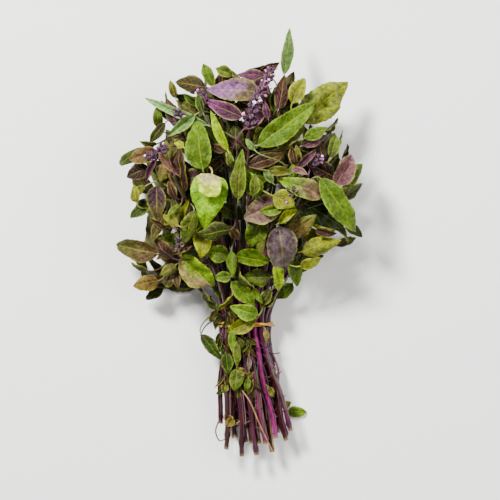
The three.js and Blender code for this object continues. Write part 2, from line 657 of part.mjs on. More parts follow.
function placeSmallLeaf(stem, node, which) {
  for (let attempt = 0; attempt < SLOT_TRIES; attempt += 1) {
    const leaf = smallLeaf(stem, node, which, attempt);
    const clear = fits(leaf) && isClear(leafSolid(leaf, CLEAR, true), stem.number, false)
      && isClear(leafSolid(leaf, CLEAR, false), stem.number, true);
    if (clear && growLeaf(stem, leaf)) return true;
  }
  return false;
}

// A spike is an axis with whorls of pointed calyxes sunk into it
function spikeSolid(spike, stem) {
  const tip = stemPoint(stem, stem.tip.y);
  const way = stemTangent(stem, stem.tip.y - 1);
  const start = tip.clone().addScaledVector(way, SPIKE_GAP);
  const curve = new THREE.CatmullRomCurve3([start, ...spike.path.map((p) => vec(...p))]);
  const steps = spike.path.length * 2;
  const at = Array.from({ length: steps + 1 }, (_, i) => i / steps);
  const directions = at.map((t) => (t === 0 ? way : curve.getTangent(t)));
  let body = tube(at.map((t) => curve.getPoint(t)), directions, at.map(() => AXIS_RADIUS), 5);
  for (let whorl = 0; whorl < spike.whorls; whorl += 1) {
    const t = (whorl + 1) / (spike.whorls + 0.4);
    const middle = curve.getPoint(t);
    const tangent = curve.getTangent(t);
    const side = vec(0, 0, 1).cross(tangent).normalize();
    const up = tangent.clone().cross(side);
    const reach = lerp(spike.reach[0], spike.reach[1], t);
    for (let k = 0; k < spike.calyxes; k += 1) {
      const angle = (2 * Math.PI * (k + 0.5 * (whorl % 2))) / spike.calyxes;
      const out = side.clone().multiplyScalar(Math.cos(angle)).addScaledVector(up, Math.sin(angle));
      const point = out.clone().addScaledVector(tangent, 0.9).normalize();
      const mouth = middle.clone().addScaledVector(point, reach);
      body = body.add(tube([middle, mouth], [point, point], [0.3, 1.3], 3));
    }
  }
  return body;
}

// The band's middle line: round the packed stems at a steady distance
function bandRing(t) {
  const turn = (t / (2 * Math.PI)) % 1;
  const w = (ROWS[0] - 1) * STEM_PITCH;
  const rise = TIE_CENTRE.z - BAND_THICKNESS / 2;
  const corner = ROW_PITCH * 2;
  const far = TIE_HALF_WIDTH;
  // Centres of the stems at the six corners of the stack, and the way out of each side
  const corners = [
    [w / 2, -corner], [far, 0], [w / 2, corner], [-w / 2, corner], [-far, 0], [-w / 2, -corner],
  ].map(([x, z]) => new THREE.Vector2(x, z));
  const offset = rise - corner;
  const lengths = [];
  const arcs = [];
  corners.forEach((c, i) => {
    const next = corners[(i + 1) % 6];
    const before = corners[(i + 5) % 6];
    const a = c.clone().sub(before).angle();
    const b = next.clone().sub(c).angle();
    arcs.push({ centre: c, from: a - Math.PI / 2, sweep: (b - a + 2 * Math.PI) % (2 * Math.PI) });
    lengths.push(arcs[i].sweep * offset, next.distanceTo(c));
  });
  let left = turn * lengths.reduce((sum, length) => sum + length, 0);
  let k = 0;
  while (left > lengths[k] && k < 11) {
    left -= lengths[k];
    k += 1;
  }
  const arc = arcs[Math.floor(k / 2)];
  const angle = arc.from + (k % 2 === 0 ? left / offset : arc.sweep);
  const out = new THREE.Vector2(Math.cos(angle), Math.sin(angle));
  const point = arc.centre.clone().addScaledVector(out, offset);
  if (k % 2 === 1) {
    point.add(new THREE.Vector2(-Math.sin(angle), Math.cos(angle)).multiplyScalar(left));
  }
  return { point, out };
}

function bandSolid() {
  const points = [];
  const faces = [];
  for (let i = 0; i < BAND_STEPS; i += 1) {
    const t = (4 * Math.PI * i) / BAND_STEPS;
    const { point, out } = bandRing(t);
    const fromCrossing = Math.abs(t - 2 * Math.PI * (1 + BAND_CROSSING));
    const hop = BAND_HOP * (1 - smoothstep(fromCrossing, 0.55, 1.1));
    const strand = Math.cos((t - 2 * Math.PI * BAND_CROSSING + Math.PI) / 2);
    const z = TIE_CENTRE.z + point.y + out.y * hop;
    const y = BAND_STRAND * Math.tanh(4 * strand) + BAND_STRAND * Math.max(0, 1 - z / TIE_CENTRE.z);
    [[1, 1], [1, -1], [-1, -1], [-1, 1]].forEach(([side, outer]) => {
      const r = hop + (outer * BAND_THICKNESS) / 2;
      points.push(vec(
        TIE_CENTRE.x + point.x + out.x * r,
        y + (side * BAND_WIDTH) / 2,
        TIE_CENTRE.z + point.y + out.y * r,
      ));
    });
  }
  const count = points.length;
  for (let a = 0; a < count; a += 4) {
    for (let k = 0; k < 4; k += 1) {
      const n = (k + 1) % 4;
      const [c, d] = [(a + 4 + n) % count, (a + 4 + k) % count];
      faces.push([a + k, a + n, c], [a + k, c, d]);
    }
  }
  return solid(points, faces);
}

const bunch = new THREE.Group();
bunch.name = 'basil_bunch';

function addPiece(name, body, color, roughness) {
  const material = new THREE.MeshStandardMaterial({ color, roughness, metalness: 0 });
  const mesh = new THREE.Mesh(geometryOf(body), material);
  mesh.name = name;
  bunch.add(mesh);
}

const band = bandSolid();
place(band, -2, false);

const stems = [];
ROWS.forEach((count, row) => {
  for (let i = 0; i < count; i += 1) {
    const stem = makeStem(row, i, stems.length + 1);
    stem.body = stemSolid(stem);
    stems.push(stem);
    place(stem.body, stem.number, false);
  }
});

const spikes = SPIKES.map((spike) => {
  const stem = stems.find((one) => one.key === spike.stem);
  const body = spikeSolid(spike, stem);
  place(body, -3, false);
  return { ...spike, body };
});

const order = SHOWN_LEAVES.map((row, i) => i)
  .sort((a, b) => SHOWN_LEAVES[b].layer - SHOWN_LEAVES[a].layer || a - b);
order.forEach((i) => placeShownLeaf(SHOWN_LEAVES[i], i, stems));

let small = 0;
for (let node = 0; node < NODES; node += 1) {
  for (const stem of stems) {
    for (const which of [0, 1]) {
      if (small < SMALL_LEAVES && placeSmallLeaf(stem, node, which)) small += 1;
    }
  }
}

stems.forEach((stem, i) => {
  addPiece(`leafy_stem_${String(i + 1).padStart(2, '0')}`, stem.body, '#6f8a3c', 0.6);
});
spikes.forEach((spike) => addPiece(spike.name, spike.body, spike.color, 0.7));
addPiece('rubber_band', band, '#c79a45', 0.55);

export default bunch;
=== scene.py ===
import math
from types import SimpleNamespace

import bpy
import numpy as np
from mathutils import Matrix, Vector
from mathutils.kdtree import KDTree


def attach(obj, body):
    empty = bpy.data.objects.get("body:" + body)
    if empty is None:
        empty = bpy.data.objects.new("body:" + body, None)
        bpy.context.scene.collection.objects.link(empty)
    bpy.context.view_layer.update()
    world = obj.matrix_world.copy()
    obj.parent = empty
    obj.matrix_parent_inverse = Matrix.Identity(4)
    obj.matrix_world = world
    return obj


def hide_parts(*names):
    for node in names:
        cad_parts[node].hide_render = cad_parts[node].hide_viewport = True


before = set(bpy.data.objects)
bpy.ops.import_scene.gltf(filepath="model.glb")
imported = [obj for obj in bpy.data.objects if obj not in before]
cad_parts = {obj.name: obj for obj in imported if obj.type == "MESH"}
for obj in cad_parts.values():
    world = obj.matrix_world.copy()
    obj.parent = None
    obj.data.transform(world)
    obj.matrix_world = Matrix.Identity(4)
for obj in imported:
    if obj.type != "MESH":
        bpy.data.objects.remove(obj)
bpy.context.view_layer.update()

# Cut stems
# Square, ribbed basil stems, dark purple with magenta and brown stretches and slightly swollen
# nodes. They are gathered in rows at the tie, run straight through it and spread on both sides.

# All sizes are in millimetres: x across the bunch, y from the tie to the crown, and z up
MM = 0.001
# The stems at the tie: how many in each row, from the back to the front, and their spacing
STEM_ROWS = [6, 7, 8, 7, 6]
STEM_PITCH = 4.75
ROW_PITCH = 4.35
TIE_CENTRE = (0.5, 12)
TIE_HALF_WIDTH = STEM_PITCH * 7 / 2
STRAIGHT = 5
STEM_RADIUS = (1.6, 1.9)
STEM_TAPER = 0.45
# Their cut ends: how they fan out, how high each row lies and bows, and the front rows one by one
CUT_CENTRE_X = 6
CUT_HALF_WIDTH = 18
CUT_Y = -74
CUT_Y_SPREAD = 6
CUT_STRAY = 1.2
CUT_ROW_Z = [2.4, 7.4, 12.4, 17.2, 22]
ROW_BOW = [1.5, -1, 1, -1.6, 1.2]
ROW_LEAN = [-2, 2, 0, 0, 0]
FRONT_CUTS = {
    4: [(-13, -88), (-1, -93), (8.5, -92), (14.5, -84), (22.5, -80), (33.5, -75)],
    3: [(-17, -70), (-6, -80), (0.5, -83), (5.5, -84), (11, -84), (20.5, -90), (30, -82)],
}
# Their tips: how they spread inside the crown, and those that are placed one by one
TIP_TOP_Y = 164
TIP_EDGE_Y = 104
TIP_HALF_WIDTH = 64
CROWN_MIDDLE_Z = 41
CROWN_HALF_DEPTH = 32
TIP_STRAY = (5, 8, 4)
SWAY = 2.4
OUTERMOST = 1.2
FAN_POWER = 1.3
RISE_POWER = 1.15
OWN_TIPS = {
    (2, 0): (-58, 49, 28),
    (2, 7): (58, 80, 26),
    (1, 0): (-62, 92, 20),
    (3, 0): (-58, 120, 54),
    (1, 6): (66, 104, 24),
    (3, 6): (37, 43, 40),
    (4, 3): (3, 130, 72),
}
# The skin: a square section, swollen nodes, and tints that turn green in the crown
STEM_SIDES = 12
STEM_RING_STEP = 2.6
STEM_SEED = 700
SQUARENESS = 0.09
NODE_STEP = 34
NODE_SWELL = 2.2
GREEN_FROM_Y = 30
GREEN_OVER = 80
STEM_TINTS = ["#2b0808", "#360622", "#410c2f", "#240801", "#480a33", "#2f1c07", "#320417"]
# The front row, left to right, from brown to bright magenta
FRONT_TINTS = ["#301408", "#390d21", "#481a32", "#5f1641", "#791759", "#4b0d36"]
CROWN_STEM = "#2d2e0f"
PITH = "#7d6841"
# Shoots beside each stem: where they start, how far above the cut they end, how far off they run
SHOOTS = 2
SHOOT_RADIUS = (0.5, 0.95)
SHOOT_TOP = (-4, -26)
SHOOT_SHORTER = (1, 26)
SHOOT_APART = (1.6, 3.4)
SHOOT_RINGS = 14
SHOOT_TINTS = ["#3e241c", "#270c09", "#4c1532", "#624a2f", "#303310", "#180206", "#582e3d"]
# Stubs of broken petioles
STUBS = 5
STUB_LENGTH = (3, 7)
STUB_RADII = [0.5, 0.42, 0.36, 0.3]


def linear(hex_code, factor=1.0):
    """An sRGB hex colour as linear red, green and blue."""
    parts = [int(hex_code[i : i + 2], 16) / 255 for i in (1, 3, 5)]
    return np.array([
        factor * (p / 12.92 if p <= 0.04045 else ((p + 0.055) / 1.055) ** 2.4) for p in parts
    ])


def rgba(hex_code):
    return (*linear(hex_code), 1.0)


def dice(seed):
    """A seeded draw of numbers from 0 to 1."""
    state = (seed * 7919 + 104729) % 2147483647

    def roll():
        nonlocal state
        state = state * 48271 % 2147483647
        return state / 2147483647

    roll()
    roll()
    return roll


def pick(choices, roll):
    return choices[int(roll() * len(choices))]


def unit(v):
    return v / np.linalg.norm(v)


def between(a, b, t):
    return a + (b - a) * t


def make_stem(row, place, number):
    roll = dice(number)
    middle = (len(STEM_ROWS) - 1) / 2
    u = (place - (STEM_ROWS[row] - 1) / 2) * STEM_PITCH / TIE_HALF_WIDTH
    v = (row - middle) / middle
    out = min(1, math.hypot(u, v) / OUTERMOST)
    cut_x = CUT_CENTRE_X + ROW_LEAN[row] + CUT_HALF_WIDTH * u + CUT_STRAY * (roll() - 0.5)
    cut_y = CUT_Y + CUT_Y_SPREAD * (2 * roll() - 1)
    if row in FRONT_CUTS:
        cut_x, cut_y = FRONT_CUTS[row][place]
    tip = (
        TIP_HALF_WIDTH * u + TIP_STRAY[0] * (roll() - 0.5),
        TIP_TOP_Y + (TIP_EDGE_Y - TIP_TOP_Y) * out * out + TIP_STRAY[1] * (roll() - 0.5),
        CROWN_MIDDLE_Z + CROWN_HALF_DEPTH * v + TIP_STRAY[2] * (roll() - 0.5),
    )
    return SimpleNamespace(
        row=row,
        place=place,
        number=number,
        node=f"leafy_stem_{number:02d}",
        tie=np.array([
            TIE_CENTRE[0] + u * TIE_HALF_WIDTH, 0, TIE_CENTRE[1] + (row - middle) * ROW_PITCH
        ]),
        cut=np.array([cut_x, cut_y, CUT_ROW_Z[row]]),
        tip=np.array(OWN_TIPS.get((row, place), tip), dtype=float),
        bow=ROW_BOW[row],
        sway=SWAY * (roll() - 0.5),
        radius=STEM_RADIUS[0] + (STEM_RADIUS[1] - STEM_RADIUS[0]) * roll(),
        turn=roll() * math.pi,
        leaves=[],
        buds=[],
        straws=[],
    )


def stem_point(stem, y):
    down = min(max((y + STRAIGHT) / (stem.cut[1] + STRAIGHT), 0), 1)
    up = min(max((y - STRAIGHT) / (stem.tip[1] - STRAIGHT), 0), 1)
    bow = stem.bow * math.sin(math.pi * down) * down
    sway = stem.sway * math.sin(math.pi * up) * up
    return np.array([
        stem.tie[0] + (stem.cut[0] - stem.tie[0]) * down**1.15 + bow
        + (stem.tip[0] - stem.tie[0]) * up**FAN_POWER + sway,
        y,
        stem.tie[2] + (stem.cut[2] - stem.tie[2]) * down
        + (stem.tip[2] - stem.tie[2]) * up**RISE_POWER,
    ])


def stem_tangent(stem, y):
    return unit(stem_point(stem, y + 0.5) - stem_point(stem, y - 0.5))


def stem_radius(stem, y):
    up = min(max((y - STRAIGHT) / (stem.tip[1] - STRAIGHT), 0), 1)
    return stem.radius * (1 - STEM_TAPER * up)


class Pieces:
    """Vertices, faces, leaf coordinates and tints of one object, gathered part by part."""

    def __init__(self):
        self.points, self.faces, self.skins, self.spots, self.tints = [], [], [], [], []
        self.count = 0

    def add(self, points, faces, skin, spots, tints):
        self.points.append(points)
        self.faces.append(faces + self.count)
        self.skins.append(np.full(len(faces), skin) if np.isscalar(skin) else skin)
        self.spots.append(spots)
        self.tints.append(tints)
        self.count += len(points)

    def build(self, name, node, materials):
        points = np.concatenate(self.points) * MM
        faces = np.concatenate(self.faces).astype(np.int32)
        mesh = bpy.data.meshes.new(name)
        mesh.vertices.add(len(points))
        mesh.vertices.foreach_set("co", points.astype(np.float32).ravel())
        mesh.loops.add(faces.size)
        mesh.loops.foreach_set("vertex_index", faces.ravel())
        mesh.polygons.add(len(faces))
        mesh.polygons.foreach_set("loop_start", np.arange(0, faces.size, 4, dtype=np.int32))
        skins = np.concatenate(self.skins).astype(np.int32)
        mesh.polygons.foreach_set("material_index", skins)
        spots = np.concatenate(self.spots)[faces.ravel()]
        layer = mesh.uv_layers.new(name="leaf")
        layer.data.foreach_set("uv", spots.astype(np.float32).ravel())
        tint = mesh.color_attributes.new(name="tint", type="FLOAT_COLOR", domain="POINT")
        tint.data.foreach_set("color", np.concatenate(self.tints).astype(np.float32).ravel())
        mesh.update(calc_edges=True)
        mesh.validate()
        mesh.polygons.foreach_set("use_smooth", np.ones(len(mesh.polygons), dtype=bool))
        mesh.set_sharp_from_angle(angle=math.radians(55))
        for material in materials:
            mesh.materials.append(material)
        piece = bpy.data.objects.new(name, mesh)
        bpy.context.scene.collection.objects.link(piece)
        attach(piece, "root")
        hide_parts(node)


def ringed(middles, ways, radii, sides, tints, corner=0.0, reference=(0.0, 0.0, 1.0)):
    """A closed body of quads round its middles. corner makes its section squarer."""
    side = np.cross(np.array(reference), ways)
    side /= np.linalg.norm(side, axis=1)[:, None]
    up = np.cross(ways, side)
    angle = 2 * math.pi * np.arange(sides) / sides
    reach = 1 + corner * np.cos(4 * angle)
    ring = (
        side[:, None, :] * (np.cos(angle) * reach)[None, :, None]
        + up[:, None, :] * (np.sin(angle) * reach)[None, :, None]
    )
    radii = np.asarray(radii, dtype=float)
    points = middles[:, None, :] + ring * radii[:, None, None]
    # Each end closes over a smaller ring to its middle point
    start = middles[0] + ring[0] * radii[0] * 0.35
    end = middles[-1] + ring[-1] * radii[-1] * 0.35
    points = np.concatenate([start[None], points, end[None]])
    count = len(points)
    rows = np.arange(count - 1)[:, None] * sides
    k = np.arange(sides)[None, :]
    n = (k + 1) % sides
    walls = np.stack([rows + k, rows + n, rows + sides + n, rows + sides + k], axis=-1)
    flat = points.reshape(-1, 3)
    total = len(flat)
    flat = np.concatenate([flat, middles[:1], middles[-1:]])
    last = (count - 1) * sides
    even = np.arange(0, sides, 2)
    first_cap = [np.full_like(even, total), (even + 2) % sides, even + 1, even]
    last_cap = [
        np.full_like(even, total + 1), last + even, last + even + 1, last + (even + 2) % sides
    ]
    faces = np.concatenate([
        walls.reshape(-1, 4), np.stack(first_cap, axis=-1), np.stack(last_cap, axis=-1)
    ])
    tints = np.asarray(tints)
    tints = np.concatenate([tints[:1], tints, tints[-1:]])
    tints = np.repeat(tints, sides, axis=0)
    tints = np.concatenate([tints, tints[:1], tints[-1:]])
    return flat, faces, np.zeros((len(flat), 2)), tints


def add_tube(pieces, skin, middles, radii, sides, tints, corner=0.0, reference=(0.0, 0.0, 1.0)):
    """A closed tube along its middles."""
    middles = np.asarray(middles, dtype=float)
    ways = np.gradient(middles, axis=0)
    ways /= np.linalg.norm(ways, axis=1)[:, None]
    points, faces, spots, tints = ringed(middles, ways, radii, sides, tints, corner, reference)
    pieces.add(points, faces, skin, spots, tints)


def fine_middle(stem, y):
    """The stem's middle, which wavers a little between its nodes but not in the tie."""
    loose = min(1, max(0, abs(y) - STRAIGHT) / 25)
    return stem_point(stem, y) + loose * np.array([
        0.6 * math.sin(y / 8.5 + 5 * stem.turn), 0, 0.3 * math.sin(y / 6.5 + stem.number)
    ])


def add_shoot(pieces, stem, roll):
    """A thin shoot that runs down beside the stem, and strays from it towards its end."""
    top = between(*SHOOT_TOP, roll())
    low = stem.cut[1] + between(*SHOOT_SHORTER, roll())
    turn, apart = math.pi * (0.1 + 0.8 * roll()), between(*SHOOT_APART, roll())
    out = apart * np.array([math.cos(turn), 0, 0.7 * math.sin(turn)])
    side = 2.2 * (roll() - 0.5)
    ys = np.linspace(top, low, SHOOT_RINGS)
    away = np.clip(np.linspace(0, 2.6, SHOOT_RINGS), 0, 1)[:, None]
    middles = np.array([fine_middle(stem, y) for y in ys]) + away * out
    bend, stray = np.sin(np.linspace(0, 5, SHOOT_RINGS)), np.linspace(0, 1, SHOOT_RINGS) ** 2
    middles[:, 0] += side * bend + 2 * side * stray
    middles[:, 2] = np.maximum(middles[:, 2], 0.9)
    tint = linear(pick(SHOOT_TINTS, roll))
    radii = np.linspace(1.1, 0.8, SHOOT_RINGS) * between(*SHOOT_RADIUS, roll())
    shades = [(*(tint * (0.75 + 0.5 * roll())), 1) for _ in ys]
    add_tube(pieces, 0, middles, radii, 8, shades)


def add_stub(pieces, stem, roll):
    """A broken petiole that sticks out of the stem."""
    start = fine_middle(stem, between(stem.cut[1] + 6, -6, roll()))
    turn, length = 2 * math.pi * roll(), between(*STUB_LENGTH, roll())
    way = unit(np.array([math.cos(turn), 1.4 * roll() - 0.3, 0.8 * abs(math.sin(turn))]))
    middles = np.array([start + way * length * t for t in (0, 0.35, 0.7, 1)])
    middles[:, 1] += [0, 0.1, 0.4, 0.9]
    middles[:, 2] = np.maximum(middles[:, 2], 0.6)
    add_tube(pieces, 0, middles, STUB_RADII, 6, [rgba(pick(SHOOT_TINTS, roll))] * 4)


def add_stem(pieces, stem):
    length = stem.tip[1] - stem.cut[1]
    steps = int(length / STEM_RING_STEP)
    heights = [stem.cut[1] + length * i / steps for i in range(steps + 1)]
    roll = dice(stem.number + STEM_SEED)
    base, second = linear(pick(STEM_TINTS, roll)), linear(pick(STEM_TINTS, roll))
    if stem.row == len(STEM_ROWS) - 1:
        base = linear(FRONT_TINTS[stem.place])
    phase, offset = 6 * roll(), NODE_STEP * roll()
    crown = linear(CROWN_STEM)
    radii, tints = [], []
    for y in heights:
        from_node = abs((y + offset) % NODE_STEP - NODE_STEP / 2)
        swell = math.exp(-((from_node / NODE_SWELL) ** 2))
        radii.append(stem_radius(stem, y) * (0.84 + 0.36 * swell + 0.08 * roll()))
        # Nodes are darker, and the stem turns green in the crown
        swing = 0.5 + 0.5 * math.sin(y / 13 + phase)
        colour = between(base, second, 0.45 * swing) * (1 - 0.35 * swell)
        colour = between(colour, crown, min(max((y - GREEN_FROM_Y) / GREEN_OVER, 0), 0.8))
        tints.append((*colour, 1))
    tints[0] = rgba(PITH)
    middles = [fine_middle(stem, y) for y in heights]
    add_tube(pieces, 0, middles, radii, STEM_SIDES, tints, corner=SQUARENESS)
    for _ in range(SHOOTS):
        add_shoot(pieces, stem, roll)
    for _ in range(STUBS):
        add_stub(pieces, stem, roll)


stems = []
for row, row_count in enumerate(STEM_ROWS):
    for place in range(row_count):
        stems.append(make_stem(row, place, len(stems) + 1))


def add_node(tree, kind, inputs=(), out=0, **settings):
    """Adds a shader node with its settings and its links, given by name or in order."""
    node = tree.nodes.new("ShaderNode" + kind)
    for key, value in settings.items():
        setattr(node, key, value)
    for key, value in inputs.items() if isinstance(inputs, dict) else enumerate(inputs):
        if isinstance(value, bpy.types.NodeSocket):
            tree.links.new(value, node.inputs[key])
        else:
            node.inputs[key].default_value = value
    return node.outputs[out]


def new_material(name, **settings):
    material = bpy.data.materials.new(name)
    material.use_nodes = True
    shader = material.node_tree.nodes["Principled BSDF"]
    for key, value in settings.items():
        shader.inputs[key.replace("_", " ")].default_value = value
    return material, material.node_tree, shader


def mottle(tree, shader, pattern, span, levels, relief=0.0):
    """Makes the tint lighter and darker with a pattern, and embosses the skin with it."""
    tint = add_node(tree, "VertexColor", layer_name="tint")
    level = add_node(tree, "MapRange", (pattern, *span, *levels))
    shade = add_node(tree, "VectorMath", {0: tint, "Scale": level}, operation="SCALE")
    tree.links.new(shade, shader.inputs["Base Color"])
    if relief:
        height = {"Height": pattern, "Strength": relief, "Distance": 0.3 * MM}
        tree.links.new(add_node(tree, "Bump", height), shader.inputs["Normal"])


def stem_skin_material():
    """Fresh basil stem: a smooth waxy skin over ribs, with fine streaks along it."""
    material, tree, shader = new_material(
        "basil_stem_skin", Roughness=0.36, IOR=1.42, Coat_Weight=0.08, Coat_Roughness=0.2
    )
    where = add_node(tree, "TexCoord", out="Object")
    # Streaks 1.2 mm wide and about 12 mm long
    stretched = add_node(tree, "Mapping", {"Vector": where, "Scale": (830, 80, 830)})
    streak = add_node(tree, "TexNoise", {"Vector": stretched, "Scale": 1.0, "Detail": 3.0})
    mottle(tree, shader, streak, (0.3, 0.7), (0.4, 1.6), 0.4)
    return material


stem_skin = stem_skin_material()

# Basil leaves
# Ovate, puckered leaves with toothed edges, from fresh green through olive to purple, each on a
# petiole that grows out of its stem. The blade is thin and waxy above, paler and ribbed below.

# The rounded outside of the crown: its middle, half sizes, heights, and its slope up from the tie
DOME = SimpleNamespace(x=-2, y=100, rx=103, ry=130, foot=12, rise=72, tie_z=25, slope=0.62)
STEEPEST = 0.6
SOLID_BLADE = 0.8
PETIOLE_RADIUS = 0.75
ROOT_RADIUS = 0.6
# The leaves that show: layers from 0 behind to 5 in front, and the places that are tried for each
LAYER_DEPTH = 4.5
FRONT_LAYER = 5
SHOWN_SEED = 5000
TOWARDS_OUTSIDE = 0.4
NARROW = 10
HEIGHT_TRIES = [0, -2, 2, -4, 4, -6, 6, -9, 9, -12, -15, -19, -23]
ROLL_TRIES = [0, 0.3, -0.3, 0.6, -0.6]
ANCHOR_STEP = 5
OWN_ROOTS = {79: 9}
# The bright leaf in the middle is a shield with its point down, and the pale one over it is square
SHIELD_LEAF = 29
FLAP_LEAF = 30
# The small leaves, in pairs at the nodes of each stem
SMALL_SEED = 20000
LOOK_SEED = 60000
NODES = 7
LOWEST_NODE_Y = 19
SMALL_LENGTH = 42
SMALL_WIDTH = 22
SLOT_TRIES = 6
MATCH = 0.02
# The blade's teeth, side veins and unlike halves, and its relief, which is less on narrow blades
BLADE_THICKNESS = 0.36
SHAPE_SEED = 30000
TOOTH_PAIRS = 10
TOOTH_DEPTH = 0.07
VEIN_PAIRS = 6
VEIN_SLANT = 1.9
UNLIKE = 0.11
FULL_WIDTH = 20
FRILL = 0.6
PUFF = 0.6
FURROW_DEPTH = 0.3
FURROW_SHARE = 0.07
CREASES = 4
CREASE_HEIGHT = 0.8
CREASE_SPACING = (9, 21)
# Its tints: painted shade darkens them deep in the crown, and a painted highlight lightens the very
# edge
TINT_SEED = 90000
SHADE_START_DEPTH = 8
SHADE_FADE_DEPTH = 38
DEEPEST_PAINTED_SHADE = 0.45
MARGIN_SHARE = 0.4
# Colour of the painted highlight along the very edge of each blade, and how much of it
RIM_HIGHLIGHT = "#d5e143"
RIM_HIGHLIGHT_SHARE = 0.16
RIB_SEED = 50000
PETIOLE_RINGS = 9
PETIOLE_TINTS = ("#411923", "#454a19")
# Leaf colourings: base and tip of the blade, margin, veins, how much purple flush, and how far
# the change from base to tip runs across the blade instead of along it
LOOKS = {
    "fresh": ("#445e0d", "#587211", "#618612", "#7ea125", 0.25, 0),
    "light_green": ("#82af01", "#6f9a0f", "#84c401", "#aaeb18", 0.06, 0),
    "green": ("#39500b", "#4e6812", "#577815", "#66832a", 0.32, 0),
    "lime": ("#799101", "#90a901", "#8da801", "#d9ff01", 0.0, 0),
    "lime_tan": ("#6a9101", "#7e6644", "#96ad01", "#d5e519", 0.1, 0.9),
    "olive_green": ("#3e4c0f", "#4b5e15", "#61781d", "#72842f", 0.42, 0),
    "olive": ("#424310", "#555818", "#6e722a", "#818134", 0.5, 0),
    "yellow_olive": ("#5e6117", "#747b0a", "#929801", "#b0b22e", 0.25, 0),
    "dark_olive": ("#1d2502", "#293406", "#48501f", "#4c5329", 0.4, 0),
    "dark_green": ("#152e01", "#243d07", "#415724", "#485e28", 0.35, 0),
    "grey_green": ("#49622e", "#617e3c", "#78964b", "#8cb35a", 0.05, 0),
    "silver": ("#5d794a", "#7a9c5e", "#95b973", "#b4e286", 0.0, 0),
    "mottled": ("#6d7a1a", "#7c8516", "#8aa201", "#b1b62d", 0.62, 0),
    "tan_brown": ("#583e29", "#664c2a", "#856f2c", "#947641", 0.45, 0),
    "olive_tan": ("#604a28", "#585a1f", "#757825", "#92803d", 0.4, 0),
    "tan_gold": ("#5a4418", "#776021", "#8c7424", "#a68733", 0.25, 0),
    "olive_brown": ("#32270a", "#3e3811", "#585526", "#5e5730", 0.45, 0),
    "purple_brown": ("#2d0f17", "#3a1f18", "#564b2b", "#583d3b", 0.5, 0),
    "dark_purple": ("#1e0111", "#2b071a", "#493a29", "#492b3b", 0.4, 0),
    "purple": ("#45173a", "#542347", "#634848", "#724764", 0.3, 0),
    "magenta": ("#36132c", "#66285b", "#825565", "#8d497c", 0.2, 0),
    "lilac": ("#635539", "#805080", "#848530", "#b272a6", 0.3, 0.2),
    "pink_purple": ("#58313e", "#6a4448", "#66622d", "#94636a", 0.4, 0),
    "dusty_pink": ("#5f3b35", "#6e463d", "#7e663e", "#a16d59", 0.35, 0),
    "mauve": ("#583e3e", "#644c43", "#797926", "#a87e62", 0.4, 0),
    "grey_mauve": ("#524349", "#685953", "#55582e", "#7e6964", 0.45, 0),
    "purple_heart": ("#3d2638", "#3d321c", "#62671f", "#655140", 0.55, 0),
    "half_tan": ("#624b39", "#5b7f05", "#6a8912", "#948b3b", 0.35, 0),
    "pale_flap": ("#a79569", "#b6ce2d", "#c0cb01", "#f5ef7a", 0.1, 0),
    "pale_lime": ("#949f18", "#b7cc18", "#d0e41f", "#feff49", 0.1, 0),
    "black_green": ("#010901", "#0c1901", "#232f0d", "#2c331b", 0.3, 0),
}

